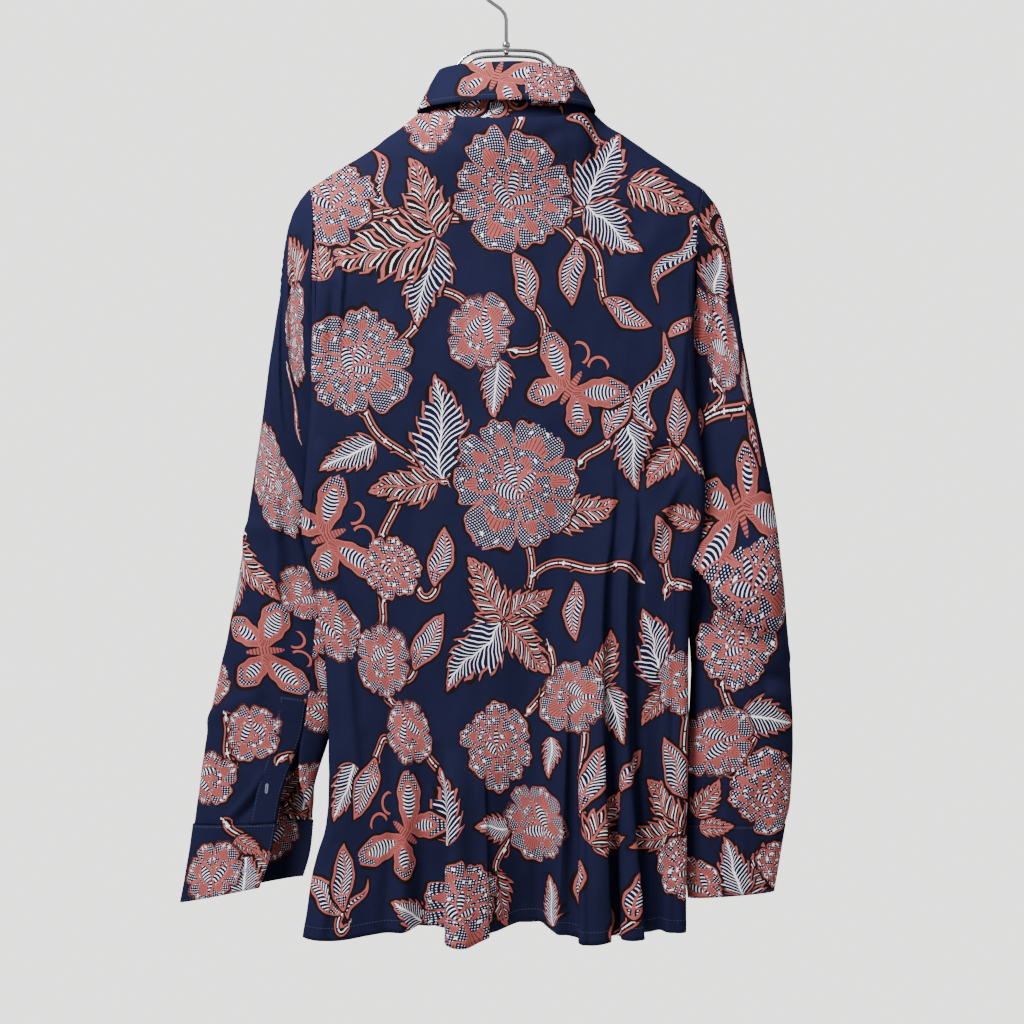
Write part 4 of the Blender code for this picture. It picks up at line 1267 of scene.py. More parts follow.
BODY = Arrangement(
    flowers=[
        Flower(PEONY, 5, -215, 0, 53),
        Flower(PEONY, 8, -466, 35, 57),
        Flower(PEONY, -130, -360, -20, 49),
        Flower(PEONY, -155, -216, 30, 41),
        Flower(BLOSSOM, -23, -334, 165, 34),
        Flower(BUTTERFLY, 56, -384, -35, 47),
        Flower(BUTTERFLY, -155, -512, -70, 47),
        Flower(PEONY, -101, -538, 10, 29),
        Flower(BLOSSOM, -152, -588, 15, 32),
        Flower(BLOSSOM, -106, -620, 150, 33),
        Flower(BLOSSOM, -85, -682, 200, 29),
        Flower(PEONY, -8, -694, 15, 39),
        Flower(BLOSSOM, 58, -652, 95, 36),
        Flower(BLOSSOM, 26, -762, 60, 37),
        Flower(PEONY, -39, -832, 5, 42),
        Flower(BUTTERFLY, -88, -770, 55, 47),
        Flower(BLOSSOM, 160, -640, 80, 34),
        Flower(BLOSSOM, -68, -150, 10, 27),
        Flower(PEONY, 158, -800, 60, 30),
    ],
    leaves=[
        Leaf(RED_LEAF, -60, -252, -84, -182),
        Leaf(RED_LEAF, -62, -250, -154, -278),
        Leaf(WHITE_LEAF, -66, -252, -76, -330),
        Leaf(LONG_LEAF, -103, -228, -118, -172),
        Leaf(WHITE_LEAF, 69, -228, 99, -157),
        Leaf(WHITE_LEAF, 69, -226, 118, -266),
        Leaf(RED_LEAF, 107, -204, 164, -226),
        Leaf(BUD, 60, -256, 55, -312),
        Leaf(BUD, 84, -308, 126, -331),
        Leaf(BUD, 25, -316, 8, -264),
        Leaf(LONG_LEAF, 168, -232, 132, -310),
        Leaf(LONG_LEAF, 126, -420, 134, -332),
        Leaf(WHITE_LEAF, -54, -462, -60, -371),
        Leaf(WHITE_LEAF, -114, -430, -162, -455),
        Leaf(RED_LEAF, -60, -464, -120, -474),
        Leaf(WHITE_LEAF, -8, -358, -11, -410),
        Leaf(RED_LEAF, 42, -500, 97, -481),
        Leaf(BUD, 88, -428, 106, -376),
        Leaf(WHITE_LEAF, 104, -410, 114, -472),
        Leaf(RED_LEAF, -3, -584, -34, -530),
        Leaf(RED_LEAF, -1, -584, 40, -560),
        Leaf(RED_LEAF, 0, -588, 38, -630),
        Leaf(WHITE_LEAF, -5, -588, -53, -646),
        Leaf(BUD, -80, -628, -55, -580),
        Leaf(BUD, -62, -556, -51, -504),
        Leaf(BUD, 59, -552, 59, -602),
        Leaf(WHITE_LEAF, 139, -641, 118, -575),
        Leaf(RED_LEAF, 139, -644, 118, -676),
        Leaf(RED_LEAF, 80, -648, 92, -594),
        Leaf(WHITE_LEAF, 88, -644, 103, -692),
        Leaf(WHITE_LEAF, 40, -685, 38, -722),
        Leaf(BUD, 67, -750, 82, -694),
        Leaf(BUD, 100, -732, 118, -698),
        Leaf(BUD, 157, -740, 137, -686),
        Leaf(RED_LEAF, 150, -768, 123, -724),
        Leaf(RED_LEAF, 148, -768, 106, -780),
        Leaf(BUD, 150, -772, 156, -828),
        Leaf(WHITE_LEAF, -50, -780, -60, -712),
        Leaf(WHITE_LEAF, 4, -766, -28, -764),
        Leaf(BUD, -114, -704, -132, -758),
        Leaf(WHITE_LEAF, -132, -710, -150, -760),
        Leaf(WHITE_LEAF, -66, -852, -100, -830),
        Leaf(BUD, -142, -838, -174, -806),
        Leaf(BUD, -140, -836, -140, -778),
        Leaf(LONG_LEAF, -138, -842, -120, -808),
        Leaf(RED_LEAF, -10, -806, 0, -852),
        Leaf(BUD, 66, -790, 58, -832),
        Leaf(BUD, 108, -842, 111, -800),
        Leaf(BUD, 86, -866, 90, -830),
        Leaf(RED_LEAF, 72, -776, 100, -732),
        Leaf(RED_LEAF, 74, -780, 104, -772),
        Leaf(BUD, 162, -322, 143, -338),
        Leaf(BUD, 150, -434, 148, -384),
        Leaf(RED_LEAF, 146, -436, 122, -470),
        Leaf(BUD, 138, -536, 130, -494),
        Leaf(RED_LEAF, 168, -500, 134, -490),
        Leaf(LONG_LEAF, 52, -150, 96, -168),
        Leaf(RED_LEAF, -158, -290, -172, -246),
        Leaf(BUD, -30, -852, -20, -806),
        Leaf(WHITE_LEAF, 44, -850, 38, -806),
    ],
    stems=[
        ((12, -148), (12, -158), (6, -160), (8, -176)),
        ((-60, -246), (-52, -232), (-46, -238), (-38, -236)),
        ((38, -240), (50, -242), (56, -250), (60, -258)),
        ((52, -234), (60, -230), (64, -232), (70, -226)),
        ((64, -256), (88, -262), (78, -290), (86, -308)),
        ((8, -352), (34, -356), (40, -330), (26, -314)),
        ((-58, -298), (-40, -302), (-34, -308), (-30, -320)),
        ((-104, -236), (-88, -224), (-78, -228), (-72, -246)),
        ((-120, -232), (-112, -232), (-108, -230), (-102, -230)),
        ((-122, -404), (-110, -436), (-98, -428), (-54, -464)),
        ((-78, -330), (-84, -336), (-90, -342), (-96, -348)),
        ((64, -448), (72, -436), (84, -440), (92, -424)),
        ((18, -516), (26, -540), (22, -552), (16, -570)),
        ((24, -546), (52, -520), (62, -552), (94, -538)),
        ((94, -538), (104, -536), (110, -540), (116, -548)),
        ((16, -570), (10, -576), (4, -580), (0, -584)),
        ((-76, -558), (-74, -572), (-60, -566), (-60, -552)),
        ((-108, -512), (-104, -500), (-96, -490), (-92, -478)),
        ((-106, -566), (-110, -574), (-104, -580), (-108, -590)),
        ((-96, -634), (-86, -640), (-82, -636), (-78, -624)),
        ((-102, -652), (-100, -660), (-94, -658), (-90, -664)),
        ((38, -610), (46, -634), (36, -646), (20, -664)),
        ((70, -680), (72, -700), (60, -720), (66, -750)),
        ((66, -750), (72, -762), (80, -760), (100, -732)),
        ((-70, -700), (-62, -716), (-52, -720), (-54, -740)),
        ((-2, -786), (4, -770), (10, -772), (14, -770)),
        ((-8, -806), (-14, -796), (0, -782), (8, -768)),
        ((138, -560), (140, -548), (150, -552), (160, -556)),
        ((138, -536), (140, -552), (144, -556), (152, -556)),
        ((156, -668), (150, -700), (160, -720), (156, -742)),
        ((150, -768), (156, -760), (158, -752), (157, -742)),
        ((148, -432), (158, -438), (160, -446), (168, -456)),
        ((-114, -704), (-106, -690), (-110, -684), (-100, -690)),
        ((-142, -838), (-150, -848), (-144, -860), (-138, -850)),
        ((126, -420), (122, -432), (116, -436), (108, -414)),
        ((108, -842), (104, -852), (92, -858), (88, -866)),
    ],
)
LEFT_ARM = Arrangement(
    flowers=[
        Flower(PEONY, -186, -336, 20, 34),
        Flower(PEONY, -203, -464, -15, 44),
        Flower(BUTTERFLY, -210, -612, 70, 47),
        Flower(BLOSSOM, -260, -644, 20, 26),
        Flower(BLOSSOM, -222, -684, 160, 28),
        Flower(BLOSSOM, -262, -724, 100, 28),
        Flower(BLOSSOM, -176, -562, 30, 30),
        Flower(BLOSSOM, -256, -806, 0, 30),
    ],
    leaves=[
        Leaf(RED_LEAF, -182, -298, -190, -250),
        Leaf(RED_LEAF, -206, -348, -182, -396),
        Leaf(RED_LEAF, -236, -524, -196, -568),
        Leaf(WHITE_LEAF, -232, -540, -250, -590),
        Leaf(RED_LEAF, -170, -420, -164, -470),
        Leaf(BUD, -190, -704, -160, -716),
        Leaf(BUD, -172, -660, -164, -616),
        Leaf(WHITE_LEAF, -176, -724, -164, -770),
        Leaf(LONG_LEAF, -164, -520, -160, -470),
        Leaf(RED_LEAF, -236, -776, -214, -790),
        Leaf(RED_LEAF, -206, -790, -186, -776),
        Leaf(WHITE_LEAF, -230, -830, -226, -786),
        Leaf(RED_LEAF, -196, -816, -220, -782),
    ],
    stems=[
        ((-232, -508), (-240, -516), (-244, -522), (-236, -528)),
        ((-244, -672), (-240, -690), (-250, -698), (-240, -710)),
        ((-190, -370), (-180, -400), (-186, -410), (-182, -424)),
        ((-196, -706), (-190, -700), (-188, -704), (-180, -710)),
        ((-244, -764), (-238, -774), (-232, -770), (-226, -780)),
    ],
)
RIGHT_ARM = Arrangement(
    flowers=[
        Flower(BLOSSOM, 186, -336, 10, 35),
        Flower(BUTTERFLY, 204, -490, 175, 47),
        Flower(PEONY, 216, -546, 20, 42),
        Flower(PEONY, 200, -606, 60, 36),
        Flower(BLOSSOM, 180, -692, 100, 35),
        Flower(PEONY, 228, -738, 30, 34),
        Flower(BLOSSOM, 168, -816, 40, 25),
        Flower(PEONY, 240, -800, 0, 24),
    ],
    leaves=[
        Leaf(RED_LEAF, 190, -268, 180, -232),
        Leaf(RED_LEAF, 190, -268, 208, -300),
        Leaf(RED_LEAF, 188, -262, 200, -226),
        Leaf(WHITE_LEAF, 184, -304, 186, -260),
        Leaf(WHITE_LEAF, 210, -396, 206, -354),
        Leaf(BUD, 210, -402, 222, -448),
        Leaf(RED_LEAF, 180, -498, 150, -486),
        Leaf(RED_LEAF, 186, -502, 160, -530),
        Leaf(WHITE_LEAF, 204, -668, 252, -674),
        Leaf(RED_LEAF, 166, -758, 186, -724),
        Leaf(RED_LEAF, 170, -768, 192, -766),
        Leaf(WHITE_LEAF, 206, -826, 190, -774),
        Leaf(RED_LEAF, 212, -826, 226, -780),
        Leaf(BUD, 170, -400, 166, -440),
        Leaf(RED_LEAF, 240, -700, 236, -742),
    ],
    stems=[
        ((182, -378), (200, -392), (180, -400), (172, -408)),
        ((172, -412), (186, -400), (196, -404), (208, -400)),
        ((166, -440), (172, -456), (170, -470), (182, -482)),
        ((188, -640), (192, -660), (196, -664), (204, -670)),
        ((196, -716), (206, -712), (210, -700), (216, -690)),
    ],
)
NECK_BAND = Arrangement(
    flowers=[
        Flower(BUTTERFLY, -8, -114, -20, 42),
        Flower(PEONY, 34, -116, 10, 29),
    ],
    leaves=[
        Leaf(WHITE_LEAF, -4, -156, -66, -142),
        Leaf(WHITE_LEAF, -30, -150, 10, -138),
        Leaf(BUD, 52, -108, 78, -124),
        Leaf(LONG_LEAF, 30, -128, 44, -160),
    ],
    stems=[((52, -108), (46, -112), (40, -116), (36, -120))],
)


EDGE_REACH = 4.0
MOST_STRETCH = 1.7
LEAST_LEAF = 30.0


def finder(points, flat, outward):
    """A function from a place seen from behind to the flat cloth there, going on past its edges."""
    toward = normals_of(points, is_closed(points))[..., 1] * outward < -0.15
    if not toward.any():
        toward[:] = True
    seen, cloth_at = points[toward][:, [0, 2]], flat[toward]
    steps = np.diff(points[..., 0], axis=1) * (toward[:, 1:] & toward[:, :-1])
    hand = 1.0 if steps.sum() > 0 else -1.0

    def find(x, z):
        order = np.argsort(((seen - (x, z)) ** 2).sum(1))[:4]
        away = (x, z) - seen[order]
        near = np.sqrt((away**2).sum(1)) + 0.05
        if near[0] > EDGE_REACH:
            return cloth_at[order[0]] + away[0] * (hand, 1)
        return (cloth_at[order] / near[:, None]).sum(0) / (1 / near).sum()

    return find


def spread(arrangement, find, copies=(), clear=0.0):
    """The arrangement on flat cloth, and again at each of copies clear of what is seen."""
    flowers, leaves, more, stems = [], [], [], []
    for flower in arrangement.flowers:
        flowers.append(Motif(flower.kind, *find(flower.x, flower.z), flower.angle, flower.size))
    for number, leaf in enumerate(arrangement.leaves):
        foot, tip = find(leaf.x, leaf.z), find(leaf.tip_x, leaf.tip_z)
        along = tip - foot
        size = float(np.hypot(*along))
        if size > MOST_STRETCH * math.hypot(leaf.tip_x - leaf.x, leaf.tip_z - leaf.z):
            continue
        angle = math.degrees(math.atan2(-along[0], along[1]))
        kept = leaves if number % 2 else more
        kept.append(Motif(leaf.kind, *foot, angle, max(LEAST_LEAF, size)))
    for stem in arrangement.stems:
        places = [find(*place) for place in stem]
        if np.linalg.norm(places[3] - places[0]) < MOST_STRETCH * math.dist(stem[0], stem[3]) + 4:
            stems.append(places)
    layers = [flowers, leaves, more]
    own, own_stems = [list(layer) for layer in layers], list(stems)
    seen = float(np.mean([flower.u for flower in flowers]))
    for across, down, flip in copies:
        for layer, kept in zip(layers, own):
            for motif in kept:
                u = flip * motif.u + across
                if abs(u - seen) > clear:
                    layer.append(motif._replace(u=u, v=motif.v + down, angle=flip * motif.angle))
        for stem in own_stems:
            line = [np.array([flip * place[0] + across, place[1] + down]) for place in stem]
            if abs(line[0][0] - seen) > clear:
                stems.append(line)
    return layers, stems


# ---------------------------------------------------------------- the cloth pieces

BODY_DOWNS = np.linspace(0, 1, 186) ** 1.25
BODY_COLUMNS = 187
FRONT_PRINT_RISE = 120.0
PRINT_REPEAT = 640.0
FRONT_REPEAT_FROM = -745.0


def panel_lines(start, end):
    """The threads that a panel's columns follow."""
    side = np.linspace(TIP_X, HALF_GIRTH - SEAM_GAP / 2, 24)
    middle = np.linspace(-TIP_X, TIP_X, BODY_COLUMNS)
    every = np.concatenate([-side[::-1][:-1], middle, side[1:]])
    inner = every[(every > start + 1) & (every < end - 1)]
    return np.concatenate([[start], inner, [end]])


def back_layout():
    """The back's points, its flat cloth and the body's print as it lies on it."""
    seam = HALF_GIRTH - SEAM_GAP / 2
    points, flat = panel(BACK, panel_lines(-seam, seam), BODY_DOWNS)
    return points, flat, spread(BODY, finder(points, flat, -1))


def make_back():
    """The back, the one side that shows the whole print."""
    points, flat, body_print = back_layout()
    points = creased(points, flat, -1, BACK_CREASES)
    back = cloth("shirt_back", points, flat, -1, body_print, "back")


def make_fronts():
    """Both fronts, with the body's print the other way round and a little higher."""
    seam = HALF_GIRTH - SEAM_GAP / 2
    _, _, (layers, stems) = back_layout()
    mirrored = []
    for layer in layers:
        shown = [m._replace(u=-m.u, v=m.v + FRONT_PRINT_RISE, angle=-m.angle) for m in layer]
        again = [m._replace(v=m.v - PRINT_REPEAT) for m in shown]
        mirrored.append(shown + [m for m in again if m.v < FRONT_REPEAT_FROM])
    mirrored_stems = [[place * (-1, 1) + (0, FRONT_PRINT_RISE) for place in stem] for stem in stems]
    for word, start, end, lap in (("left", -seam, OVERLAP, 0.0), ("right", -OVERLAP, seam, LIFT)):
        points, flat = panel(FRONT, panel_lines(start, end), BODY_DOWNS, lap)
        points = creased(points, flat, 1, FRONT_CREASES)
        name = f"shirt_front_{word}"
        front = cloth(name, points, flat, 1, (mirrored, mirrored_stems), f"front_{word}")


def ring_between(rings, at):
    """A ring part of the way between the numbered rings."""
    keys = np.arange(len(rings), dtype=float)
    columns = (np.array([getattr(ring, name) for ring in rings], float) for name in Ring._fields)
    return Ring(*(float(smooth(keys, column, at)) for column in columns))


def stand_grid(angles):
    """The points of the stand, its ends lapping in front."""
    grid = []
    for at in np.linspace(0, 2, 10):
        ring = ring_between(STAND_RINGS, at)
        overlap = STAND_END / ring.half_width
        angle = np.concatenate([angles[:1] - overlap, angles, angles[-1:] + overlap])
        row = ring_point(ring, angle)
        in_front = ease((np.abs(angle) - math.radians(120)) / math.radians(50))
        row[:, 1] += np.copysign(in_front * STAND_LAP, angle)
        grid.append(row)
    return np.array(grid)


def fall_grid(angles):
    """The points of the fall, from the stand over its fold to its free edge and points."""
    grid = []
    for at in np.linspace(0, 5, 31):
        ring = ring_between(FALL_RINGS, at)
        past = max(0.0, at - 2) / 3
        end = math.pi - FALL_END / ring.half_width - COLLAR_POINT_OUT / ring.half_width * past
        angle = angles / math.pi * end
        row = ring_point(ring, angle)
        row[:, 2] -= COLLAR_POINT_DROP * ease((np.abs(angle) - 2.0) / 0.6) * past
        grid.append(row)
    return np.array(grid)


COLLAR_COLUMNS = 145
COLLAR_COPIES = [(165, 0, 1), (-165, 0, 1)]
COLLAR_COPY_CLEAR = 80
# Each piece's name, node and grid, how far down the print it lies, its layers of cloth, its
# unevenness, how it is held, its flat size and what it rests on
COLLAR_PIECES = (
    ("collar_stand_cloth", "collar_stand", stand_grid)
    + (104, 1.0, 0.15, "stretched", (0.40, 0.04), "shirt_back"),
    ("collar_fall_cloth", "collar_fall", fall_grid)
    + (80, 1.6, 0.35, "folded", (0.40, 0.06), "collar_stand_cloth"),
)


def make_collar():
    """The stand round the neck, and the fall folded over it."""
    angles = np.radians(np.linspace(-180, 180, COLLAR_COLUMNS))
    for name, node, grid, drop, layers, uneven, held, size, under in COLLAR_PIECES:
        points = grid(angles)
        flat = flat_of(points, points.shape[1] // 2) - np.array([0, drop])
        outward = facing(points)
        find = finder(points, flat, outward)
        neck_print = spread(NECK_BAND, find, COLLAR_COPIES, clear=COLLAR_COPY_CLEAR)
        points = creased(points, flat, outward, (), uneven)
        piece = cloth(name, points, flat, outward, neck_print, node, layers)


def facing(points):
    """+1 if a grid's own normals point away from its middle near its last row, else -1."""
    normal = normals_of(points, is_closed(points))[-2]
    middle = points.reshape(-1, 3).mean(0)
    return 1 if (normal * (points[-2] - middle)).sum() > 0 else -1


Arm = namedtuple("Arm", "word rows cuff slit motifs creases")
ARMS = (
    Arm("left", LEFT_SLEEVE, LEFT_CUFF, LEFT_SLIT, LEFT_ARM, LEFT_SLEEVE_CREASES),
    Arm("right", RIGHT_SLEEVE, RIGHT_CUFF, RIGHT_SLIT, RIGHT_ARM, RIGHT_SLEEVE_CREASES),
)
# Each grid's rows and columns, how far down the print a piece lies, and how the arm's motifs are
# laid again on the far side: at which rises, and how far clear of the ones that are seen
SLEEVE_GRID = 110, 170
SLEEVE_DROP = 215
SLEEVE_COPY_RISES = 70, -530
SLEEVE_COPY_CLEAR = 0.27
CUFF_GRID = 100, 20
CUFF_DROP = 765
CUFF_COPIES = [(110, 30, 1), (-110, 30, 1)]
CUFF_COPY_CLEAR = 75
CUFF_UNEVEN = 0.4
CUFF_LAYERS = 1.5
PLACKET_GRID = 8, 34
PLACKET_DROP = 700
EDGE_COLUMN = 30
GIRTH_ROW = 80
PLACKET_COLUMN = 4


def make_sleeves():
    """Both sleeves, each a tube that is slit at its foot."""
    for arm in ARMS:
        points = sleeve_grid(arm.rows, arm.slit, *SLEEVE_GRID)
        flat = flat_of(points, EDGE_COLUMN) - np.array([0, SLEEVE_DROP])
        outward = facing(points)
        girth = float(flat[GIRTH_ROW, -1, 0] - flat[GIRTH_ROW, 0, 0])
        turns = [(half, rise, 1) for rise in SLEEVE_COPY_RISES for half in (girth / 2, -girth / 2)]
        find = finder(points, flat, outward)
        arm_print = spread(arm.motifs, find, turns, clear=girth * SLEEVE_COPY_CLEAR)
        points = creased(points, flat, outward, arm.creases)
        name = f"sleeve_{arm.word}_cloth"
        piece = cloth(name, points, flat, outward, arm_print, f"sleeve_{arm.word}")


def make_cuffs():
    """Both cuffs, the left one open."""
    for arm in ARMS:
        points = cuff_grid(arm.cuff, arm.slit, *CUFF_GRID)
        flat = flat_of(points, EDGE_COLUMN) - np.array([0, CUFF_DROP])
        outward = facing(points)
        find = finder(points, flat, outward)
        cuff_print = spread(arm.motifs, find, CUFF_COPIES, clear=CUFF_COPY_CLEAR)
        creases = [crease for crease in CUFF_CREASES if crease.x * arm.slit.side > 0]
        points = creased(points, flat, outward, creases, CUFF_UNEVEN)
        name = f"cuff_{arm.word}_cloth"
        piece = cloth(name, points, flat, outward, cuff_print, f"cuff_{arm.word}", CUFF_LAYERS)


def make_plackets():
    """The strip sewn along each sleeve's slit."""
    for arm in ARMS:
        points = placket_grid(arm.rows, arm.slit, *PLACKET_GRID)
        flat = flat_of(points, PLACKET_COLUMN) - np.array([0, PLACKET_DROP])
        outward = 1 if normals_of(points, False)[5, 4, 1] * arm.slit.face > 0 else -1
        strip_print = spread(arm.motifs, finder(points, flat, outward))
        name = f"placket_{arm.word}_cloth"
        piece = cloth(name, points, flat, outward, strip_print, f"placket_{arm.word}")


# ---------------------------------------------------------------- sewing

HEM_TURN = 11.0
FRONT_BAND = 30.0
HOLE_PITCH = 0.45
HOLE_SIDE = 0.75
HOLE_BAR = (0.3, 0.7)
HOLE_STITCH = 1.3


def distance_along(line):
    """How far along a line each of its places is."""
    steps = np.linalg.norm(np.diff(line[:, :3], axis=0), axis=1)
    return np.concatenate([[0], np.cumsum(steps)])


def edge_line(name, edge, inset):
    """The line this far in from one edge of a piece: its places and its normals."""
    points, normals = SURFACES[name]
    both = np.concatenate([points, normals], 2)
    if edge in ("first", "last"):
        both = both.transpose(1, 0, 2)
    if edge in ("bottom", "last"):
        both = both[::-1]
    line = []
    for column in range(both.shape[1]):
        thread = both[:, column]
        away = distance_along(thread)
        line.append([np.interp(inset, away, thread[:, number]) for number in range(6)])
    return np.array(line)


def dashes(line, ends=2.0):
    """A stitch for each step along a line: its middle, its direction and its normal."""
    trim = bpy.context.scene.batik_trim
    pitch = (trim.stitch + trim.stitch_gap) / MM
    along = distance_along(line)
    at = np.arange(ends, along[-1] - ends, pitch)
    here, ahead = (
        np.stack([np.interp(at + more, along, line[:, number]) for number in range(6)], -1)
        for more in (0, 0.4)
    )
    return np.concatenate([here[:, :3], ahead[:, :3] - here[:, :3], here[:, 3:]], 1)


def nearest_on(name, x, z, face):
    """The place and the normal of a piece nearest to a place seen from one face."""
    points, normals = SURFACES[name]
    hidden = normals[..., 1] * face < 0.1
    gap = (points[..., 0] - x) ** 2 + (points[..., 2] - z) ** 2 + hidden * 1e6
    spot = np.unravel_index(gap.argmin(), gap.shape)
    return points[spot], normals[spot]


def hole_stitches(name, x, z, face, along, size):
    """The close stitches round a buttonhole, and the bar across each end."""
    middle, normal = nearest_on(name, x, z, face)
    along = np.array(along, float)
    along -= normal * (along @ normal)
    along /= np.linalg.norm(along)
    side = np.cross(normal, along)
    stitches = []
    for step in np.linspace(-size / 2, size / 2, round(size / HOLE_PITCH) + 1):
        for hand in (-1, 1):
            stitches.append([*(middle + along * step + side * hand * HOLE_SIDE), *side, *normal])
    for end in (-1, 1):
        for more in HOLE_BAR:
            stitches.append([*(middle + along * end * (size / 2 + more)), *side, *normal])
    return np.array(stitches)


def sew(name, stitches, size, look):
    """Copies one small stitch to each place and joins the copies into one piece."""
    bpy.ops.object.select_all(action="DESELECT")
    bpy.ops.mesh.primitive_uv_sphere_add(segments=6, ring_count=4, radius=0.5)
    piece = bpy.context.object
    piece.name = name
    one = np.array([corner.co for corner in piece.data.vertices])
    faces = [list(face.vertices) for face in piece.data.polygons]
    middle, along, normal = stitches[:, :3], stitches[:, 3:6], stitches[:, 6:]
    normal = normal / np.linalg.norm(normal, axis=1, keepdims=True)
    along = along - normal * (along * normal).sum(1, keepdims=True)
    along = along / np.linalg.norm(along, axis=1, keepdims=True)
    side = np.cross(normal, along)
    width = bpy.context.scene.batik_trim.stitch_width / MM
    places = middle[:, None] + normal[:, None] * width * 0.2
    for direction, reach, number in ((along, size, 0), (side, width, 1), (normal, width * 0.8, 2)):
        places = places + direction[:, None] * (one[:, number] * reach)[None, :, None]
    corners = (places * MM).reshape(-1, 3)
    every = [
        [corner + len(one) * number for corner in face]
        for number in range(len(stitches))
        for face in faces
    ]
    mesh = bpy.data.meshes.new(name)
    mesh.from_pydata(corners.tolist(), [], every)
    spare = piece.data
    piece.data = mesh
    bpy.data.meshes.remove(spare)
    mesh.materials.append(look)
    bpy.ops.object.shade_smooth()
    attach(piece, "root")
    return piece


def make_stitching():
    """Every line of stitches that shows, and the buttonholes."""
    trim = bpy.context.scene.batik_trim
    thread = plain_material("sewing_thread", trim.thread, 0.75)
    size = trim.stitch / MM
    lines = [("shirt_back", "bottom", HEM_TURN), ("shirt_front_left", "bottom", HEM_TURN)]
    lines += [("shirt_front_right", "bottom", HEM_TURN), ("shirt_front_right", "first", 3.0)]
    lines += [("shirt_front_right", "first", FRONT_BAND)]
    sew("stitches_body", np.concatenate([dashes(edge_line(*line)) for line in lines]), size, thread)
    lines = [("collar_fall_cloth", edge, 5.0) for edge in ("bottom", "first", "last")]
    lines += [("collar_stand_cloth", edge, 1.8) for edge in ("top", "first", "last")]
    stitches = np.concatenate([dashes(edge_line(*line), 4.0) for line in lines])
    sew("stitches_collar", stitches, size, thread)
    for arm in ARMS:
        cuff, strip = f"cuff_{arm.word}_cloth", f"placket_{arm.word}_cloth"
        lines = [(cuff, edge, 1.8) for edge in ("top", "bottom", "first", "last")]
        lines += [(strip, "first", 1.5), (strip, "last", 1.5), (strip, "top", 1.5)]
        stitches = np.concatenate([dashes(edge_line(*line)) for line in lines])
        sew(f"stitches_{arm.word}_sleeve", stitches, size, thread)
    holes = [hole_stitches("cuff_left_cloth", -226, -804, BACK, (1, 0, 0.1), 10.5)]
    holes += [hole_stitches("placket_left_cloth", -210.5, -733, BACK, (0.1, 0, 1), 7.0)]
    hole_thread = plain_material("hole_thread", trim.hole_thread, 0.75)
    sew("buttonholes_left_sleeve", np.concatenate(holes), HOLE_STITCH, hole_thread)
    holes = []
    for number in range(1, 7):
        low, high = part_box(f"button_front_{number}")
        spot = (np.array(low) + np.array(high)) / 2 / MM
        holes.append(hole_stitches("shirt_front_right", spot[0], spot[2], FRONT, (0, 0, 1), 14.0))
    sew("buttonholes_front", np.concatenate(holes), HOLE_STITCH, thread)


# ---------------------------------------------------------------- buttons and hanger

BUTTON_HOLE_OUT = 0.24
BUTTON_RISE = 0.42
# The cloth that each button lies on
BUTTON_ON = {
    "button_front": "shirt_front_right",
    "button_collar": "collar_stand_cloth",
    "button_cuff_left": "cuff_left_cloth",
    "button_cuff_right": "cuff_right_cloth",
    "button_placket_left": "sleeve_left_cloth",
    "button_placket_right": "placket_right_cloth",
}


def blank_button():
    """A dished button of radius 1 lying flat, its four holes cut through and its thread in them."""
    trim = bpy.context.scene.batik_trim
    bpy.ops.object.select_all(action="DESELECT")
    bpy.ops.mesh.primitive_cylinder_add(vertices=48, radius=1, depth=0.40)
    button = bpy.context.object
    bpy.ops.object.mode_set(mode="EDIT")
    bpy.ops.mesh.select_all(action="DESELECT")
    bpy.ops.object.mode_set(mode="OBJECT")
    for face in button.data.polygons:
        face.select = face.normal.z > 0.9
    bpy.ops.object.mode_set(mode="EDIT")
    bpy.ops.mesh.select_mode(type="FACE")
    bpy.ops.mesh.inset(thickness=0.20, depth=0.02)
    bpy.ops.mesh.inset(thickness=0.10, depth=-0.13)
    bpy.ops.object.mode_set(mode="OBJECT")
    soften = button.modifiers.new("Soft rim", "BEVEL")
    soften.width = 0.05
    soften.segments = 2
    soften.limit_method = "ANGLE"
    bpy.ops.object.modifier_apply(modifier="Soft rim")
    holes = []
    for across, up in ((-1, -1), (-1, 1), (1, -1), (1, 1)):
        spot = (across * BUTTON_HOLE_OUT, up * BUTTON_HOLE_OUT, 0)
        bpy.ops.mesh.primitive_cylinder_add(vertices=16, radius=0.11, depth=1, location=spot)
        holes.append(bpy.context.object)
    for hole in holes:
        cut = button.modifiers.new("Hole", "BOOLEAN")
        cut.operation = "DIFFERENCE"
        cut.object = hole
        bpy.context.view_layer.objects.active = button
        bpy.ops.object.modifier_apply(modifier="Hole")
        bpy.data.objects.remove(hole)
    button.data.materials.append(plain_material("button", trim.button, 0.30))
    bpy.ops.object.select_all(action="DESELECT")
    threads = []
    for turn in (45, -45):
        bpy.ops.mesh.primitive_uv_sphere_add(segments=10, ring_count=8, location=(0, 0, 0.10))
        threads.append(bpy.context.object)
        threads[-1].scale = (BUTTON_HOLE_OUT * 1.5, 0.085, 0.10)
        threads[-1].rotation_euler = (0, 0, math.radians(turn))
    shank = (0, 0, -0.30)
    bpy.ops.mesh.primitive_cylinder_add(vertices=12, radius=0.22, depth=0.30, location=shank)
    threads.append(bpy.context.object)
    for piece in threads:
        piece.data.materials.append(plain_material("sewing_thread", trim.thread, 0.75))
        piece.select_set(True)
    button.select_set(True)
    bpy.context.view_layer.objects.active = button
    bpy.ops.object.join()
    bpy.ops.object.shade_smooth_by_angle(angle=math.radians(40))
    return button


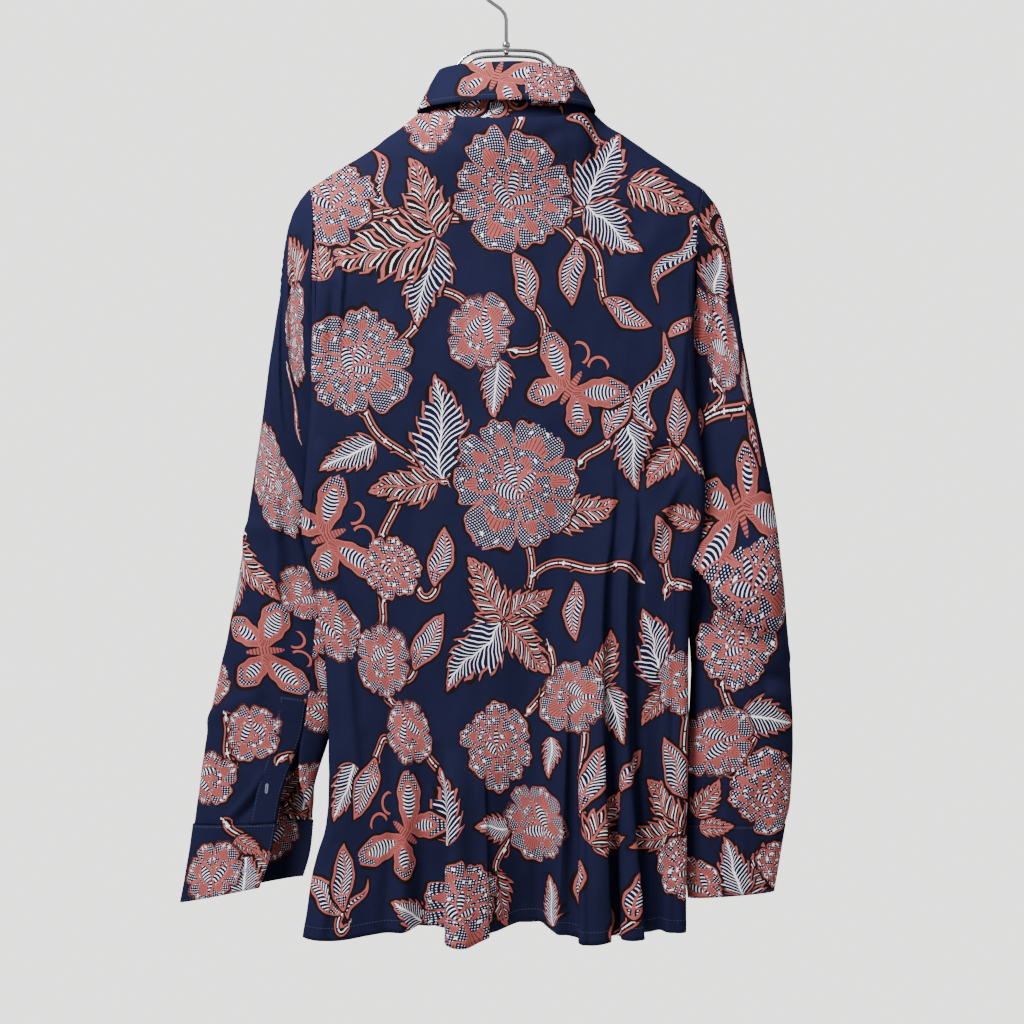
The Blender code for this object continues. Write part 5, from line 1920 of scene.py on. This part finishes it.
def make_buttons():
    """A copy of one button on each place that the construction gives, its dished face outwards."""
    blank = blank_button()
    for name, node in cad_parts.items():
        if not name.startswith("button"):
            continue
        corners = np.array([corner.co for corner in node.data.vertices])
        middle = (corners.max(0) + corners.min(0)) / 2
        _, _, directions = np.linalg.svd(corners - corners.mean(0))
        axis = directions[2]
        away = (corners - middle) @ axis
        flat_part = corners - middle - away[:, None] * axis
        radius = float(np.linalg.norm(flat_part, axis=1).max())
        kind = name.rsplit("_", 1)[0] if name[-1].isdigit() else name
        spot, normal = nearest_on(BUTTON_ON[kind], *middle[[0, 2]] / MM, FRONT)
        middle = spot * MM + normal * radius * BUTTON_RISE
        mesh = blank.data.copy()
        turn = Vector(normal).to_track_quat("Z", "Y").to_matrix().to_4x4()
        mesh.transform(Matrix.Translation(Vector(middle)) @ turn @ Matrix.Scale(radius, 4))
        piece = bpy.data.objects.new(f"{name}_four_hole", mesh)
        bpy.context.scene.collection.objects.link(piece)
        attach(piece, "root")
        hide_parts(name)
    bpy.data.objects.remove(blank)


def make_hanger():
    """The hanger's pieces with their doubles merged, drawn rounder and chromed."""
    chrome = plain_material("chrome", bpy.context.scene.batik_trim.chrome, 0.16, 1.0, 260.0)
    for name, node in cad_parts.items():
        if not name.startswith("hanger"):
            continue
        piece = bpy.data.objects.new(f"{name}_chromed", node.data.copy())
        bpy.context.scene.collection.objects.link(piece)
        bpy.ops.object.select_all(action="DESELECT")
        piece.select_set(True)
        bpy.context.view_layer.objects.active = piece
        bpy.ops.object.mode_set(mode="EDIT")
        bpy.ops.mesh.select_all(action="SELECT")
        bpy.ops.mesh.remove_doubles(threshold=0.00001)
        bpy.ops.mesh.dissolve_limited(angle_limit=math.radians(1))
        bpy.ops.object.mode_set(mode="OBJECT")
        soften = piece.modifiers.new("Soft edges", "BEVEL")
        soften.width = 0.0002
        soften.segments = 2
        soften.limit_method = "ANGLE"
        soften.angle_limit = math.radians(50)
        bpy.ops.object.modifier_apply(modifier="Soft edges")
        bpy.ops.object.shade_smooth_by_angle(angle=math.radians(50))
        piece.data.materials.clear()
        piece.data.materials.append(chrome)
        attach(piece, "root")
        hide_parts(name)


# ---------------------------------------------------------------- the stage

Lamp = namedtuple("Lamp", "name x y z power size")
LAMPS = [
    Lamp("key_light", -0.78, -1.05, 0.92, 1.0, 0.7),
    Lamp("fill_light", 1.9, -1.4, 0.2, 0.05, 1.6),
    Lamp("rear_light", 0.4, 2.4, 0.6, 0.25, 1.8),
]
FLOOR_Z = -1.36
AIM = Vector((0, 0, -0.35))
CAMERA_PLACE = (0.005, -2.0, -0.491)
BACKDROP = 3.0
STUDIO_GREY = (0.80, 0.79, 0.775, 1)


def make_stage():
    """The floor, the pale surround, the lamps and the camera."""
    settings = bpy.context.scene.batik_stage
    bpy.ops.object.select_all(action="DESELECT")
    bpy.ops.mesh.primitive_circle_add(
        vertices=96, radius=1.2, fill_type="NGON", location=(0, 0, FLOOR_Z)
    )
    floor = bpy.context.object
    floor.name = "floor"
    floor.data.materials.append(plain_material("floor_paint", settings.floor, 0.7))
    world = bpy.data.worlds.new("studio")
    bpy.context.scene.world = world
    world.use_nodes = True
    tree = world.node_tree
    surround = tree.nodes["Background"]
    surround.inputs["Color"].default_value = STUDIO_GREY
    surround.inputs["Strength"].default_value = settings.surround
    backdrop = tree.nodes.new("ShaderNodeBackground")
    backdrop.inputs["Color"].default_value = STUDIO_GREY
    backdrop.inputs["Strength"].default_value = BACKDROP
    path, mix = tree.nodes.new("ShaderNodeLightPath"), tree.nodes.new("ShaderNodeMixShader")
    tree.links.new(path.outputs["Is Camera Ray"], mix.inputs["Fac"])
    tree.links.new(surround.outputs[0], mix.inputs[1])
    tree.links.new(backdrop.outputs[0], mix.inputs[2])
    tree.links.new(mix.outputs[0], tree.nodes["World Output"].inputs["Surface"])
    for lamp in LAMPS:
        spot = Vector((lamp.x, lamp.y, lamp.z))
        bpy.ops.object.light_add(type="AREA", location=spot)
        light = bpy.context.object
        light.name = lamp.name
        light.data.energy = settings.key_power * lamp.power
        light.data.size = lamp.size
        light.rotation_euler = (AIM - spot).to_track_quat("-Z", "Y").to_euler()
    bpy.ops.object.camera_add(location=CAMERA_PLACE, rotation=(math.pi / 2, 0, 0))
    camera = bpy.context.object
    camera.data.sensor_width = 36
    camera.data.lens = 36 / (2 * math.tan(settings.view / 2))
    bpy.context.scene.camera = camera


# ---------------------------------------------------------------- the operators


class BATIK_OT_print(bpy.types.Operator):
    """Make the print's motifs as node groups"""

    bl_idname = "batik.print_groups"
    bl_label = "Print"

    def execute(self, context):
        make_peony()
        make_leaf()
        make_butterfly()
        make_stem()
        make_print()
        return {"FINISHED"}


class BATIK_OT_back(bpy.types.Operator):
    """Make the one-piece back with its folds and creases"""

    bl_idname = "batik.back"
    bl_label = "Back"

    def execute(self, context):
        make_back()
        return {"FINISHED"}


class BATIK_OT_fronts(bpy.types.Operator):
    """Make the two fronts, the right one lapped over the left"""

    bl_idname = "batik.fronts"
    bl_label = "Fronts"

    def execute(self, context):
        make_fronts()
        return {"FINISHED"}


class BATIK_OT_collar(bpy.types.Operator):
    """Make the collar's stand and fall"""

    bl_idname = "batik.collar"
    bl_label = "Collar"

    def execute(self, context):
        make_collar()
        return {"FINISHED"}


class BATIK_OT_sleeves(bpy.types.Operator):
    """Make the two sleeves"""

    bl_idname = "batik.sleeves"
    bl_label = "Sleeves"

    def execute(self, context):
        make_sleeves()
        return {"FINISHED"}


class BATIK_OT_cuffs(bpy.types.Operator):
    """Make the open left cuff and the closed right cuff"""

    bl_idname = "batik.cuffs"
    bl_label = "Cuffs"

    def execute(self, context):
        make_cuffs()
        return {"FINISHED"}


class BATIK_OT_plackets(bpy.types.Operator):
    """Make the strips sewn along the sleeve slits"""

    bl_idname = "batik.plackets"
    bl_label = "Plackets"

    def execute(self, context):
        make_plackets()
        return {"FINISHED"}


class BATIK_OT_stitching(bpy.types.Operator):
    """Make the stitches and buttonholes on the finished cloth pieces"""

    bl_idname = "batik.stitching"
    bl_label = "Stitching"

    def execute(self, context):
        make_stitching()
        return {"FINISHED"}


class BATIK_OT_buttons(bpy.types.Operator):
    """Make the four-hole buttons"""

    bl_idname = "batik.buttons"
    bl_label = "Buttons"

    def execute(self, context):
        make_buttons()
        return {"FINISHED"}


class BATIK_OT_hanger(bpy.types.Operator):
    """Make the hanger's chromed wires"""

    bl_idname = "batik.hanger"
    bl_label = "Hanger"

    def execute(self, context):
        make_hanger()
        return {"FINISHED"}


class BATIK_OT_stage(bpy.types.Operator):
    """Make the floor, the lights and the camera"""

    bl_idname = "batik.stage"
    bl_label = "Stage"

    def execute(self, context):
        make_stage()
        return {"FINISHED"}


OPERATORS = (
    BATIK_OT_print,
    BATIK_OT_back,
    BATIK_OT_fronts,
    BATIK_OT_collar,
    BATIK_OT_sleeves,
    BATIK_OT_cuffs,
    BATIK_OT_plackets,
    BATIK_OT_stitching,
    BATIK_OT_buttons,
    BATIK_OT_hanger,
    BATIK_OT_stage,
)
SETTINGS = {
    "batik_cloth": ClothSettings,
    "batik_print": PrintSettings,
    "batik_trim": TrimSettings,
    "batik_stage": StageSettings,
}


class BATIK_PT_shirt(bpy.types.Panel):
    """The shirt's settings and its pieces, in the order they are made"""

    bl_idname = "BATIK_PT_shirt"
    bl_label = "Batik Shirt"
    bl_space_type = "VIEW_3D"
    bl_region_type = "UI"
    bl_category = "Shirt"

    def draw(self, context):
        for name, group in SETTINGS.items():
            box = self.layout.box()
            for setting in group.__annotations__:
                box.prop(getattr(context.scene, name), setting)
        for operator in OPERATORS:
            self.layout.operator(operator.bl_idname)


def register():
    """Adds the settings, the operators and the panel."""
    for group in SETTINGS.values():
        bpy.utils.register_class(group)
    for name, group in SETTINGS.items():
        setattr(bpy.types.Scene, name, bpy.props.PointerProperty(type=group))
    for shown in (*OPERATORS, BATIK_PT_shirt):
        bpy.utils.register_class(shown)


def unregister():
    """Takes away what register added."""
    for shown in (BATIK_PT_shirt, *reversed(OPERATORS)):
        bpy.utils.unregister_class(shown)
    for name, group in SETTINGS.items():
        delattr(bpy.types.Scene, name)
        bpy.utils.unregister_class(group)


def main():
    """Makes the whole shirt, its hanger and its stage."""
    register()
    bpy.ops.batik.print_groups()
    bpy.ops.batik.back()
    bpy.ops.batik.fronts()
    bpy.ops.batik.collar()
    bpy.ops.batik.sleeves()
    bpy.ops.batik.cuffs()
    bpy.ops.batik.plackets()
    bpy.ops.batik.stitching()
    bpy.ops.batik.buttons()
    bpy.ops.batik.hanger()
    bpy.ops.batik.stage()


if __name__ == "__main__":
    main()
